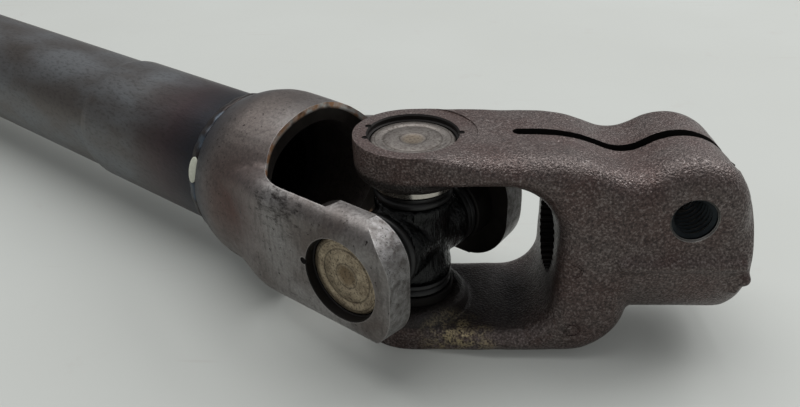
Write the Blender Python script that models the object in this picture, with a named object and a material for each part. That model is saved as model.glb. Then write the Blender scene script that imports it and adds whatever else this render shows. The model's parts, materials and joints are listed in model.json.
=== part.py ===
"""Intermediate steering shaft: two universal joints on a slip shaft, in metres, +Z up.

The shaft lies as it comes to rest, with both clamp yokes flat on the ground and
parallel to X, and the shaft between them slanted across the XY plane. The origin is
on the ground, halfway between the two joint centres.
"""

import math

import bmesh
import bpy
from mathutils import Matrix, Vector

# Layout
JOINT_DISTANCE = 0.300
BEND = math.radians(37.4)

# Gap between pieces that seat in or on each other
FIT = 0.0003

# Cross, bearing cups and seals, measured from the joint's centre
CUP_RADIUS = 0.0080
CUP_DEPTH_SHARE = 0.44
CUP_FLOOR = 0.0014
TRUNNION_RADIUS = 0.0050
NEEDLE_DIAMETER = 0.0024
NEEDLE_COUNT = 15
CROSS_SHOULDER_RELIEF = 0.0007
SEAL_SPACE = 0.0029
SEAL_LIP = 0.0006

# Clamp yoke, measured from the joint's centre along its bore
CLAMP_CUP_RECESS = 0.0013
CLAMP_EAR_RADIUS = 0.0113
CLAMP_EAR_DEPTH = 0.0089
CLAMP_ARM_DEPTH = 0.0057
CLAMP_HALF_WIDTH = 0.0142
CLAMP_EDGE_ROUND = 0.0050
CLAMP_LENGTH = 0.0610
THROAT_DEPTH = 0.0262
THROAT_UPPER_ROUND = 0.0105
THROAT_LOWER_ROUND = 0.0075
THROAT_EDGE_ROUND = 0.0040
ARM_TAPER_END = 0.0150
SHOULDER_ROUND = 0.0300
DIP_HEIGHT = 0.0178
DIP_ROUND = 0.0082
LUG_HEIGHT = 0.0209
LUG_ROUND = 0.0114
HEEL_END = 0.0410
HEEL_ROUND = 0.0120
HUB_RADIUS = 0.0149
HUB_ROOT_RADIUS = 0.0134
HUB_CHAMFER = 0.0015
BORE_RADIUS = 0.0085
BORE_TOOTH_HEIGHT = 0.0006
BORE_TEETH = 36
SLIT_START = 0.0196
SLIT_WIDTH = 0.0026
BOLT_X = 0.0490
BOLT_Z = 0.0109
BOLT_THREAD_RADIUS = 0.0040
BOLT_CLEAR_RADIUS = 0.0045
SPOT_FACE_RADIUS = 0.0100
SPOT_FACE_DEPTH = 0.0003

# Shaft yoke, measured from the joint's centre along the shaft
SHAFT_CUP_RECESS = 0.0019
SHAFT_EAR_SWELL = 0.0019
SHAFT_EAR_WALL = 0.0028
SHAFT_EAR_BOSS = 0.0029
SHAFT_EAR_BOSS_RADIUS = 0.0134
SHAFT_EAR_HALF_HEIGHT = 0.0128
SHAFT_EAR_ROUND = 0.0045
SHAFT_EAR_TIP = 0.0117
SHAFT_EAR_TIP_INNER_ROUND = 0.0088
SHAFT_EAR_TIP_OUTER_ROUND = 0.0100
WINDOW_END = 0.0263
WINDOW_ROUND = 0.0098
COLLAR_WALL = 0.0040
COLLAR_CROWN = 0.0365
COLLAR_END = 0.0465
NECK_WALL = 0.0012
WELD_LEG = 0.0031

# Tube and slip shaft; stations count from the near joint's centre
TUBE_RADIUS = 0.0157
TUBE_STEP_DROP = 0.00075
TUBE_WALL = 0.00235
TUBE_START = 0.0420
TUBE_STEP = 0.0910
TUBE_STEP_LENGTH = 0.0030
TUBE_SPLINE_START = 0.1180
TUBE_END = 0.1980
SPLINE_TEETH = 24
SPLINE_HEIGHT = 0.0008
SPLINE_RELIEF = 0.0004
INNER_SHAFT_START = 0.1260
INNER_SPLINE_RUNOUT = 0.0030
INNER_PLAIN_LENGTH = 0.0250
SLEEVE_WALL = 0.0010
SLEEVE_START = 0.1300
SLEEVE_LENGTH = 0.0380
DUST_SEAL_WALL = 0.0015
DUST_SEAL_GRIP = 0.0095
DUST_SEAL_NOSE = 0.0034

# Values that follow from those above
COLLAR_RADIUS = TUBE_RADIUS + FIT + COLLAR_WALL
SHAFT_EAR_FACE = COLLAR_RADIUS + SHAFT_EAR_SWELL
CUP_FACE = SHAFT_EAR_FACE - SHAFT_CUP_RECESS
CUP_RIM = CUP_FACE * (1 - CUP_DEPTH_SHARE)
CUP_HOLE_RADIUS = CUP_RADIUS + FIT
CROSS_SHOULDER = CUP_RIM - SEAL_SPACE
CROSS_HUB_RADIUS = CROSS_SHOULDER - CROSS_SHOULDER_RELIEF
CLAMP_EAR_FACE = CUP_FACE + CLAMP_CUP_RECESS
CLAMP_EAR_BOSS = CLAMP_EAR_FACE - CLAMP_EAR_DEPTH
CLAMP_ARM_GAP = CLAMP_EAR_FACE - CLAMP_ARM_DEPTH
WINDOW_HALF_WIDTH = SHAFT_EAR_FACE - SHAFT_EAR_WALL
WINDOW_CORNER = WINDOW_END - WINDOW_ROUND
JOINT_HEIGHT = CLAMP_EAR_FACE
TUBE_SMALL_RADIUS = TUBE_RADIUS - TUBE_STEP_DROP
TUBE_BORE_RADIUS = TUBE_SMALL_RADIUS - TUBE_WALL
TUBE_SPLINE_RADIUS = TUBE_BORE_RADIUS - SPLINE_RELIEF
SLEEVE_RADIUS = TUBE_SPLINE_RADIUS - FIT
SLEEVE_BORE_RADIUS = SLEEVE_RADIUS - SLEEVE_WALL
INNER_SHAFT_RADIUS = SLEEVE_BORE_RADIUS - FIT
INNER_SHAFT_END = JOINT_DISTANCE - TUBE_START
INNER_SPLINE_END = INNER_SHAFT_END - INNER_PLAIN_LENGTH - INNER_SPLINE_RUNOUT

# Facets
CUP_SEGMENTS = 20
EAR_SEGMENTS = 24
HUB_SEGMENTS = 28
SHAFT_SEGMENTS = 32
RING_SEGMENTS = 24
CROSS_SEGMENTS = 16
SEAL_SEGMENTS = 14
HOLE_SEGMENTS = 16
CUTTER_REACH = 0.010
MARKER_SIZE = 0.020


def clear_scene():
    """Remove whatever the file opened with."""
    for old in list(bpy.data.objects):
        bpy.data.objects.remove(old, do_unlink=True)


def make_material(name, color, roughness, metallic):
    """A Principled material with one colour."""
    material = bpy.data.materials.new(name)
    material.use_nodes = True
    shader = material.node_tree.nodes["Principled BSDF"]
    shader.inputs["Base Color"].default_value = (*color, 1.0)
    shader.inputs["Roughness"].default_value = roughness
    shader.inputs["Metallic"].default_value = metallic
    return material


def make_frame(name, location, angle, parent=None):
    """An empty on a joint's axis, turned about Z, that carries its pieces."""
    frame = bpy.data.objects.new(name, None)
    frame.empty_display_size = MARKER_SIZE
    frame.location = location
    frame.rotation_euler = (0.0, 0.0, angle)
    frame.parent = parent
    bpy.context.collection.objects.link(frame)
    return frame


def mesh_from(bm, name, smooth_angle=30.0):
    """Turn a bmesh into a mesh that is smooth on its round stretches."""
    bmesh.ops.recalc_face_normals(bm, faces=bm.faces[:])
    mesh = bpy.data.meshes.new(name)
    bm.to_mesh(mesh)
    bm.free()
    mesh.shade_smooth()
    mesh.set_sharp_from_angle(angle=math.radians(smooth_angle))
    return mesh


def place(name, mesh, material, frame, location=(0, 0, 0), rotation=(0, 0, 0)):
    """Put a piece into its frame."""
    piece = bpy.data.objects.new(name, mesh)
    if material and not mesh.materials:
        mesh.materials.append(material)
    piece.location = location
    piece.rotation_euler = rotation
    piece.parent = frame
    bpy.context.collection.objects.link(piece)
    return piece


def boolean(piece, tool, operation):
    """Cut a tool from a piece, or join it on, with a live modifier."""
    tool.hide_render = True
    tool.display_type = "WIRE"
    modifier = piece.modifiers.new(tool.name, "BOOLEAN")
    modifier.operation = operation
    modifier.solver = "EXACT"
    modifier.object = tool


def arc(center, radius, start, end, steps):
    """Points on an arc, from one angle in degrees to another."""
    points = []
    for step in range(steps + 1):
        angle = math.radians(start + (end - start) * step / steps)
        x = center[0] + radius * math.cos(angle)
        y = center[1] + radius * math.sin(angle)
        points.append((x, y))
    return points


def turned(profile, segments, closed=False):
    """Turn a profile of (radius, height) points about Z."""
    bm = bmesh.new()
    verts = [bm.verts.new((radius, 0.0, height)) for radius, height in profile]
    for first, second in zip(verts, verts[1:]):
        bm.edges.new((first, second))
    if closed:
        bm.edges.new((verts[-1], verts[0]))
    bmesh.ops.spin(
        bm,
        geom=bm.verts[:] + bm.edges[:],
        cent=(0, 0, 0),
        axis=(0, 0, 1),
        angle=math.tau,
        steps=segments,
        use_merge=True,
    )
    bmesh.ops.remove_doubles(bm, verts=bm.verts[:], dist=1e-6)
    return bm


def wall_between(bm, low, high):
    """Quads between two rings with equally many vertices."""
    for index in range(len(low)):
        after = (index + 1) % len(low)
        bm.faces.new((low[index], low[after], high[after], high[index]))


def lofted(rings):
    """Skin a list of rings with equally many points, and close both ends."""
    bm = bmesh.new()
    loops = [[bm.verts.new(point) for point in ring] for ring in rings]
    for low, high in zip(loops, loops[1:]):
        wall_between(bm, low, high)
    bm.faces.new(loops[0])
    bm.faces.new(loops[-1])
    return bm


def along_x(bm):
    """Lay a body that was turned about Z along X."""
    bmesh.ops.rotate(bm, verts=bm.verts[:], matrix=Matrix.Rotation(math.pi / 2, 3, "Y"))
    return bm


def toothed_ring(radius, tooth_height, teeth, station):
    """One ring of a serrated shaft or bore, square to X."""
    ring = []
    for index in range(2 * teeth):
        angle = math.pi * index / teeth
        reach = radius - tooth_height * (index % 2)
        ring.append((station, reach * math.cos(angle), reach * math.sin(angle)))
    return ring


def cross_body():
    """The forged cross: two shouldered trunnion pairs, square to each other."""
    tip = CUP_FACE - CUP_FLOOR - FIT
    half = [
        (CROSS_HUB_RADIUS, 0.0),
        (CROSS_HUB_RADIUS, CROSS_SHOULDER),
        (TRUNNION_RADIUS, CROSS_SHOULDER),
        (TRUNNION_RADIUS, tip),
        (0.0, tip),
    ]
    profile = [(radius, -height) for radius, height in reversed(half[1:])] + half[1:]
    return turned(profile, CROSS_SEGMENTS)


def make_cross(name, frame, material):
    """Join the upright pair of trunnions to the level pair."""
    cross = place(name, mesh_from(cross_body(), name), material, frame)
    level_name = name + "_level_trunnions"
    level = place(level_name, mesh_from(cross_body(), level_name), None, frame)
    level.rotation_euler = (math.pi / 2, 0.0, 0.0)
    boolean(cross, level, "UNION")
    return cross


def rim_between(bm, outer, inner):
    """Triangles between two rings that start at the same angle, whatever their counts."""
    out = 0
    within = 0
    while out < len(outer) or within < len(inner):
        here = outer[out % len(outer)]
        there = inner[within % len(inner)]
        if (out + 1) * len(inner) <= (within + 1) * len(outer):
            out += 1
            bm.faces.new((here, outer[out % len(outer)], there))
        else:
            within += 1
            bm.faces.new((here, inner[within % len(inner)], there))


def cup_mesh():
    """A drawn cup, open towards the cross, with its needle rollers as ridges of the bore."""
    bm = bmesh.new()
    crest = TRUNNION_RADIUS + FIT
    valley = crest + NEEDLE_DIAMETER / 2

    def ring(count, high_reach, low_reach, height):
        verts = []
        for index in range(count):
            angle = math.tau * index / count
            reach = low_reach if index % 2 else high_reach
            verts.append(bm.verts.new((reach * math.cos(angle), reach * math.sin(angle), height)))
        return verts

    outer_rim = ring(CUP_SEGMENTS, CUP_RADIUS, CUP_RADIUS, CUP_RIM)
    outer_face = ring(CUP_SEGMENTS, CUP_RADIUS, CUP_RADIUS, CUP_FACE)
    bore_rim = ring(2 * NEEDLE_COUNT, valley, crest, CUP_RIM)
    bore_floor = ring(2 * NEEDLE_COUNT, valley, crest, CUP_FACE - CUP_FLOOR)
    wall_between(bm, outer_rim, outer_face)
    wall_between(bm, bore_rim, bore_floor)
    rim_between(bm, outer_rim, bore_rim)
    bm.faces.new(outer_face)
    bm.faces.new(bore_floor)
    return mesh_from(bm, "bearing_cup")


def seal_mesh():
    """A rubber ring between a cup's rim and the cross's shoulder."""
    low = CROSS_SHOULDER + FIT
    high = CUP_RIM - FIT
    profile = [
        (TRUNNION_RADIUS + FIT, low),
        (CROSS_HUB_RADIUS, low),
        (CUP_RADIUS - SEAL_LIP, high),
        (TRUNNION_RADIUS + FIT, high),
    ]
    return mesh_from(turned(profile, SEAL_SEGMENTS, closed=True), "trunnion_seal")


def place_bearing(prefix, side, frame, rotation, meshes, materials):
    """A cup and its seal on one trunnion."""
    place(prefix + "_cup_" + side, meshes["cup"], materials["cup"], frame, rotation=rotation)
    place(prefix + "_seal_" + side, meshes["seal"], materials["seal"], frame, rotation=rotation)


def clamp_outline():
    """Side view of the clamp yoke's forging, without its throat, as (x, z) points."""
    lug = (BOLT_X, LUG_HEIGHT - LUG_ROUND)
    dip_z = DIP_HEIGHT + DIP_ROUND
    dip_x = lug[0] - math.sqrt((LUG_ROUND + DIP_ROUND) ** 2 - (dip_z - lug[1]) ** 2)
    shoulder_z = CLAMP_EAR_FACE - SHOULDER_ROUND
    shoulder_x = dip_x - math.sqrt((SHOULDER_ROUND + DIP_ROUND) ** 2 - (dip_z - shoulder_z) ** 2)
    shoulder_end = math.degrees(math.atan2(dip_z - shoulder_z, dip_x - shoulder_x))
    dip_end = math.degrees(math.atan2(lug[1] - dip_z, lug[0] - dip_x))
    heel = (HEEL_END - HEEL_ROUND, HEEL_ROUND - CLAMP_EAR_FACE)
    start = CLAMP_EAR_RADIUS * 0.2
    hub_side = -math.sqrt(HUB_RADIUS ** 2 - CLAMP_HALF_WIDTH ** 2)

    points = [(start, CLAMP_EAR_FACE), (ARM_TAPER_END, CLAMP_EAR_FACE)]
    points += arc((shoulder_x, shoulder_z), SHOULDER_ROUND, 90, shoulder_end, 3)
    points += arc((dip_x, dip_z), DIP_ROUND, shoulder_end + 180, dip_end + 360, 4)[1:]
    points += arc(lug, LUG_ROUND, dip_end + 180, 0, 6)[1:]
    points += [(CLAMP_LENGTH, hub_side), (HEEL_END, hub_side)]
    points += arc(heel, HEEL_ROUND, 0, -90, 5)
    points += [(ARM_TAPER_END, -CLAMP_EAR_FACE), (start, -CLAMP_EAR_FACE)]
    return points


def clamp_blank():
    """The forging's body: the outline at full width, with rounded edges and tapered arms."""
    outline = clamp_outline()
    rings = []
    for side in (-1, 1):
        rings.append([(x, side * CLAMP_HALF_WIDTH, z) for x, z in outline])
    bm = lofted(rings)
    bmesh.ops.recalc_face_normals(bm, faces=bm.faces[:])
    rims = []
    for edge in bm.edges:
        first, second = edge.verts
        if abs(first.co.y - second.co.y) < FIT:
            rims.append(edge)
    bmesh.ops.bevel(
        bm,
        geom=rims,
        offset=CLAMP_EDGE_ROUND,
        offset_type="OFFSET",
        segments=2,
        profile=0.5,
        affect="EDGES",
        clamp_overlap=True,
    )
    bmesh.ops.bisect_plane(
        bm,
        geom=bm.verts[:] + bm.edges[:] + bm.faces[:],
        plane_co=(ARM_TAPER_END, 0, 0),
        plane_no=(1, 0, 0),
    )
    start = outline[0][0]
    arm_width = CLAMP_EAR_RADIUS - FIT
    for vert in bm.verts:
        share = min(1.0, max(0.0, (vert.co.x - start) / (ARM_TAPER_END - start)))
        vert.co.y *= (arm_width + (CLAMP_HALF_WIDTH - arm_width) * share) / CLAMP_HALF_WIDTH
    tapered = [face for face in bm.faces if face.calc_center_median().x < ARM_TAPER_END - FIT]
    bmesh.ops.triangulate(bm, faces=tapered)
    return bm


def clamp_ear():
    """The machined ring that holds one cup, solid, with its rounded inner edge."""
    inner = CLAMP_EAR_BOSS
    radius = CLAMP_EAR_RADIUS
    profile = [
        (0.0, CLAMP_EAR_FACE),
        (radius, CLAMP_EAR_FACE),
        (radius, inner + 0.26 * radius),
        (0.94 * radius, inner + 0.09 * radius),
        (0.80 * radius, inner),
        (0.0, inner),
    ]
    return turned(profile, EAR_SEGMENTS)


def clamp_hub():
    """The round lower part of the clamp, along X."""
    profile = [
        (0.0, THROAT_DEPTH + HUB_CHAMFER),
        (HUB_ROOT_RADIUS, THROAT_DEPTH + HUB_CHAMFER),
        (HUB_RADIUS, HEEL_END),
        (HUB_RADIUS, CLAMP_LENGTH - HUB_CHAMFER),
        (HUB_RADIUS - HUB_CHAMFER, CLAMP_LENGTH),
        (0.0, CLAMP_LENGTH),
    ]
    return along_x(turned(profile, HUB_SEGMENTS))


def throat_ring(side, flare):
    """One ring of the throat's cutter, grown by a flare towards the yoke's sides."""
    gap = CLAMP_ARM_GAP
    upper = (THROAT_DEPTH - THROAT_UPPER_ROUND, gap - THROAT_UPPER_ROUND)
    lower = (THROAT_DEPTH - THROAT_LOWER_ROUND, THROAT_LOWER_ROUND - gap)
    back = -CLAMP_EAR_RADIUS - CUTTER_REACH
    points = [(back, -gap - flare)]
    points += arc(lower, THROAT_LOWER_ROUND + flare, -90, 0, 4)
    points += arc(upper, THROAT_UPPER_ROUND + flare, 0, 90, 5)
    points += [(back, gap + flare)]
    return [(x, side, z) for x, z in points]


def throat_cutter():
    """The gap between the arms, with its edges rounded towards the yoke's sides."""
    flares = []
    for step in range(4):
        angle = math.radians(25 * step)
        side = CLAMP_HALF_WIDTH - THROAT_EDGE_ROUND * (1 - math.sin(angle))
        flares.append((side, THROAT_EDGE_ROUND * (1 - math.cos(angle))))
    flares.append((CLAMP_HALF_WIDTH + FIT, THROAT_EDGE_ROUND))
    rings = [throat_ring(-side, flare) for side, flare in reversed(flares)]
    rings += [throat_ring(side, flare) for side, flare in flares]
    return lofted(rings)


def drill(radius, low, high, segments):
    """A round cutter along Z from one height to another."""
    return turned([(0.0, low), (radius, low), (radius, high), (0.0, high)], segments)


def box_cutter(low, high):
    """A box between two corners."""
    bm = bmesh.new()
    size = Vector(high) - Vector(low)
    middle = (Vector(high) + Vector(low)) / 2
    matrix = Matrix.Translation(middle) @ Matrix.Diagonal((*size, 1.0))
    bmesh.ops.create_cube(bm, size=1.0, matrix=matrix)
    return bm


def bore_cutter():
    """The serrated bore for the steering gear's input shaft, from the throat to the end."""
    stations = (THROAT_DEPTH - FIT * 4, CLAMP_LENGTH + CUTTER_REACH)
    return lofted([toothed_ring(BORE_RADIUS, BORE_TOOTH_HEIGHT, BORE_TEETH, x) for x in stations])


def make_clamp_yoke(name, frame, material):
    """One forging: two ears and arms, a head with a dip, and a slit hub with two bolt lugs."""
    yoke = place(name, mesh_from(clamp_blank(), name), material, frame)

    def tool(label, bm, location=(0, 0, 0), rotation=(0, 0, 0)):
        tool_name = name + "_" + label
        return place(tool_name, mesh_from(bm, tool_name), None, frame, location, rotation)

    boolean(yoke, tool("hub", clamp_hub()), "UNION")
    boolean(yoke, tool("throat", throat_cutter()), "DIFFERENCE")
    boolean(yoke, tool("upper_ear", clamp_ear()), "UNION")
    boolean(yoke, tool("lower_ear", clamp_ear(), rotation=(math.pi, 0, 0)), "UNION")

    reach = CLAMP_EAR_FACE + CUTTER_REACH
    cup_hole = drill(CUP_HOLE_RADIUS, -reach, reach, CUP_SEGMENTS)
    boolean(yoke, tool("cup_hole", cup_hole), "DIFFERENCE")
    boolean(yoke, tool("bore", bore_cutter()), "DIFFERENCE")

    slit_low = (SLIT_START, -SLIT_WIDTH / 2, BORE_RADIUS / 2)
    slit_high = (CLAMP_LENGTH + CUTTER_REACH, SLIT_WIDTH / 2, reach)
    boolean(yoke, tool("slit", box_cutter(slit_low, slit_high)), "DIFFERENCE")

    bolt = (BOLT_X, 0.0, BOLT_Z)
    spot = CLAMP_HALF_WIDTH - SPOT_FACE_DEPTH
    side = CLAMP_HALF_WIDTH + CUTTER_REACH
    sides = (
        ("tapped", BOLT_THREAD_RADIUS, (math.pi / 2, 0, 0)),
        ("plain", BOLT_CLEAR_RADIUS, (-math.pi / 2, 0, 0)),
    )
    for label, radius, turn in sides:
        stepped = [
            (0.0, 0.0),
            (radius, 0.0),
            (radius, spot),
            (SPOT_FACE_RADIUS, spot),
            (SPOT_FACE_RADIUS, side),
            (0.0, side),
        ]
        boolean(yoke, tool(label + "_hole", turned(stepped, HOLE_SEGMENTS), bolt, turn), "DIFFERENCE")
    return yoke


def ear_reach(angle):
    """Distance from the axis to the shaft yoke's ear section, a rounded rectangle."""
    corner_y = SHAFT_EAR_FACE - SHAFT_EAR_ROUND
    corner_z = SHAFT_EAR_HALF_HEIGHT - SHAFT_EAR_ROUND
    across = abs(math.cos(angle))
    up = abs(math.sin(angle))
    if up * SHAFT_EAR_FACE <= across * corner_z:
        return SHAFT_EAR_FACE / across
    if across * SHAFT_EAR_HALF_HEIGHT <= up * corner_y:
        return SHAFT_EAR_HALF_HEIGHT / up
    toward = across * corner_y + up * corner_z
    off = corner_y ** 2 + corner_z ** 2 - SHAFT_EAR_ROUND ** 2
    return toward + math.sqrt(toward ** 2 - off)


def section_angles():
    """Angles round a quarter of the shaft yoke, closest where the ear turns its corner."""
    corner_low = math.atan2(SHAFT_EAR_HALF_HEIGHT - SHAFT_EAR_ROUND, SHAFT_EAR_FACE)
    corner_high = math.atan2(SHAFT_EAR_HALF_HEIGHT, SHAFT_EAR_FACE - SHAFT_EAR_ROUND)
    quarter = [0.0, corner_low / 2]
    for step in range(3):
        quarter.append(corner_low + (corner_high - corner_low) * step / 2)
    for step in range(1, 4):
        quarter.append(corner_high + (math.pi / 2 - corner_high) * step / 4)
    half = quarter + [math.pi / 2] + [math.pi - angle for angle in reversed(quarter[1:])]
    return half + [angle + math.pi for angle in half]


def shaft_yoke_blank(neck_radius):
    """The pressing's outer skin: flat ears that flow into a round collar and its neck."""
    ear_fade = COLLAR_CROWN - WINDOW_CORNER
    corner_y = SHAFT_EAR_FACE - SHAFT_EAR_ROUND
    corner_z = SHAFT_EAR_HALF_HEIGHT - SHAFT_EAR_ROUND
    ear_corner = math.hypot(corner_y, corner_z) + SHAFT_EAR_ROUND
    rings = []

    def add_ring(station, collar, ear_share):
        ring = []
        for angle in section_angles():
            ear = ear_reach(angle) * ear_share
            reach = max(collar, ear)
            ring.append((station, reach * math.cos(angle), reach * math.sin(angle)))
        rings.append(ring)

    add_ring(-SHAFT_EAR_TIP - FIT, 0.0, 1.0)
    for step in range(4):
        share = step / 3
        collar = COLLAR_RADIUS * (0.97 + 0.03 * math.sin(share * math.pi / 2))
        drop = (1 - COLLAR_RADIUS / ear_corner) * (1 - math.cos(share * math.pi)) / 2
        add_ring(WINDOW_CORNER + ear_fade * share, collar, 1 - drop)
    for step in range(1, 4):
        share = step / 3
        fall = (COLLAR_RADIUS - neck_radius) * (1 - math.cos(share * math.pi / 2))
        add_ring(COLLAR_CROWN + (COLLAR_END - COLLAR_CROWN) * share, COLLAR_RADIUS - fall, 0.0)
    return lofted(rings)


def window_cutter():
    """The U-shaped way between the ears, cut straight through from top to bottom."""
    half = WINDOW_HALF_WIDTH
    side = half - WINDOW_ROUND
    back = -SHAFT_EAR_TIP - CUTTER_REACH
    plan = [(back, -half)]
    plan += arc((WINDOW_CORNER, -side), WINDOW_ROUND, -90, 0, 6)
    plan += arc((WINDOW_CORNER, side), WINDOW_ROUND, 0, 90, 6)
    plan += [(back, half)]
    height = COLLAR_RADIUS + CUTTER_REACH
    return lofted([[(x, y, z) for x, y in plan] for z in (-height, height)])


def ear_boss():
    """The round pad on an ear's inner side, cut off level with the ear's edges."""
    half_height = SHAFT_EAR_HALF_HEIGHT - FIT / 3
    turn = math.degrees(math.asin(half_height / SHAFT_EAR_BOSS_RADIUS))
    back = -SHAFT_EAR_TIP - FIT / 3
    outline = arc((0.0, 0.0), SHAFT_EAR_BOSS_RADIUS, -turn, turn, 8)
    outline += [(back, half_height), (back, -half_height)]
    inner = WINDOW_HALF_WIDTH - SHAFT_EAR_BOSS
    outer = WINDOW_HALF_WIDTH + SHAFT_EAR_WALL / 4
    return lofted([[(x, y, z) for x, z in outline] for y in (inner, outer)])


def tip_cutter():
    """What lies beyond the ears' tips, squarer at the inner face than at the outer one."""
    half_height = SHAFT_EAR_HALF_HEIGHT + CUTTER_REACH
    far = -SHAFT_EAR_TIP - CUTTER_REACH
    inner = WINDOW_HALF_WIDTH - SHAFT_EAR_BOSS - FIT
    outer = SHAFT_EAR_FACE + FIT
    sides = (
        (-outer, SHAFT_EAR_TIP_OUTER_ROUND),
        (-inner, SHAFT_EAR_TIP_INNER_ROUND),
        (inner, SHAFT_EAR_TIP_INNER_ROUND),
        (outer, SHAFT_EAR_TIP_OUTER_ROUND),
    )
    rings = []
    for side, radius in sides:
        center_x = radius - SHAFT_EAR_TIP
        center_z = SHAFT_EAR_HALF_HEIGHT - radius
        top = arc((center_x, center_z), radius, 105, 180, 4)
        tip = top + [(x, -z) for x, z in reversed(top)]
        points = [(far, half_height), (tip[0][0] + FIT, half_height)]
        points += tip
        points += [(tip[-1][0] + FIT, -half_height), (far, -half_height)]
        rings.append([(x, side, z) for x, z in points])
    return lofted(rings)


def collar_cavity(shaft_radius):
    """The hollow inside the collar, down to the neck that holds the shaft."""
    wide = COLLAR_RADIUS - COLLAR_WALL
    narrow = shaft_radius + FIT
    seat = TUBE_START - (wide - narrow)
    profile = [
        (0.0, WINDOW_CORNER),
        (wide, WINDOW_CORNER),
        (wide, seat),
        (narrow, TUBE_START),
        (narrow, COLLAR_END + CUTTER_REACH),
        (0.0, COLLAR_END + CUTTER_REACH),
    ]
    if wide - narrow < FIT:
        profile = profile[:2] + profile[-2:]
    return along_x(turned(profile, RING_SEGMENTS))


def make_shaft_yoke(name, frame, material, shaft_radius):
    """One pressing: a collar with two flat ears, a U-shaped window and two cup holes."""
    neck_radius = shaft_radius + FIT + NECK_WALL
    yoke = place(name, mesh_from(shaft_yoke_blank(neck_radius), name), material, frame)

    def tool(label, bm, rotation=(0, 0, 0)):
        tool_name = name + "_" + label
        return place(tool_name, mesh_from(bm, tool_name), None, frame, rotation=rotation)

    boolean(yoke, tool("window", window_cutter()), "DIFFERENCE")
    boolean(yoke, tool("cavity", collar_cavity(shaft_radius)), "DIFFERENCE")
    boolean(yoke, tool("rear_boss", ear_boss()), "UNION")
    boolean(yoke, tool("front_boss", ear_boss(), (math.pi, 0, 0)), "UNION")
    boolean(yoke, tool("tip", tip_cutter()), "DIFFERENCE")
    reach = SHAFT_EAR_FACE + CUTTER_REACH
    cup_hole = drill(CUP_HOLE_RADIUS, -reach, reach, CUP_SEGMENTS)
    half_facet = math.pi / CUP_SEGMENTS
    boolean(yoke, tool("cup_hole", cup_hole, (math.pi / 2, half_facet, 0)), "DIFFERENCE")
    return yoke


def make_weld_bead(name, frame, material, shaft_radius):
    """The bead that closes the collar's neck onto the shaft."""
    low = shaft_radius + FIT
    high = low + NECK_WALL
    start = COLLAR_END + FIT
    end = start + WELD_LEG
    profile = [
        (low, start),
        (high, start),
        (low + NECK_WALL * 0.8, start + WELD_LEG * 0.5),
        (low, end),
    ]
    bm = along_x(turned(profile, RING_SEGMENTS, closed=True))
    return place(name, mesh_from(bm, name), material, frame)


def make_outer_tube(name, frame, material):
    """The tube, with its step, and inner splines towards its mouth."""
    profile = [
        (0.0, TUBE_START),
        (TUBE_RADIUS, TUBE_START),
        (TUBE_RADIUS, TUBE_STEP),
        (TUBE_SMALL_RADIUS, TUBE_STEP + TUBE_STEP_LENGTH),
        (TUBE_SMALL_RADIUS, TUBE_END),
        (0.0, TUBE_END),
    ]
    tube = place(name, mesh_from(along_x(turned(profile, SHAFT_SEGMENTS)), name), material, frame)

    bore_low = TUBE_START - CUTTER_REACH
    bore = along_x(drill(TUBE_BORE_RADIUS, bore_low, TUBE_SPLINE_START, RING_SEGMENTS))
    bore_name = name + "_bore"
    boolean(tube, place(bore_name, mesh_from(bore, bore_name), None, frame), "DIFFERENCE")

    stations = (TUBE_SPLINE_START - CUTTER_REACH, TUBE_END + CUTTER_REACH)
    rings = [toothed_ring(TUBE_SPLINE_RADIUS, SPLINE_HEIGHT, SPLINE_TEETH, x) for x in stations]
    spline_name = name + "_spline"
    spline = place(spline_name, mesh_from(lofted(rings), spline_name), None, frame)
    boolean(tube, spline, "DIFFERENCE")
    return tube


def make_inner_shaft(name, frame, material):
    """The splined shaft that slides in the tube, with a plain end in the far yoke's neck."""
    radius = INNER_SHAFT_RADIUS
    runout = INNER_SPLINE_END + INNER_SPLINE_RUNOUT
    rings = [
        toothed_ring(radius, SPLINE_HEIGHT, SPLINE_TEETH, INNER_SHAFT_START),
        toothed_ring(radius, SPLINE_HEIGHT, SPLINE_TEETH, INNER_SPLINE_END),
        toothed_ring(radius, 0.0, SPLINE_TEETH, runout),
        toothed_ring(radius, 0.0, SPLINE_TEETH, INNER_SHAFT_END),
    ]
    return place(name, mesh_from(lofted(rings), name), material, frame)


def make_slide_sleeve(name, frame, material):
    """A nylon sleeve on the inner shaft's splines, splined inside and out."""
    bm = bmesh.new()
    loops = []
    for station in (SLEEVE_START, SLEEVE_START + SLEEVE_LENGTH):
        for radius in (SLEEVE_RADIUS, SLEEVE_BORE_RADIUS):
            ring = toothed_ring(radius, SPLINE_HEIGHT, SPLINE_TEETH, station)
            loops.append([bm.verts.new(point) for point in ring])
    outer_low, inner_low, outer_high, inner_high = loops
    around = [outer_low, outer_high, inner_high, inner_low, outer_low]
    for first, second in zip(around, around[1:]):
        wall_between(bm, first, second)
    return place(name, mesh_from(bm, name), material, frame)


def make_dust_seal(name, frame, material):
    """A rubber cap on the tube's mouth, with a lip on the inner shaft."""
    bore = TUBE_SMALL_RADIUS + FIT
    skin = bore + DUST_SEAL_WALL
    face = TUBE_END + FIT
    lip = INNER_SHAFT_RADIUS + FIT
    profile = [
        (bore, TUBE_END - DUST_SEAL_GRIP),
        (skin, TUBE_END - DUST_SEAL_GRIP),
        (skin, face + DUST_SEAL_NOSE * 0.4),
        (lip + DUST_SEAL_WALL, face + DUST_SEAL_NOSE),
        (lip, face + DUST_SEAL_NOSE),
        (lip, face),
        (bore, face),
    ]
    bm = along_x(turned(profile, RING_SEGMENTS, closed=True))
    return place(name, mesh_from(bm, name), material, frame)


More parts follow.
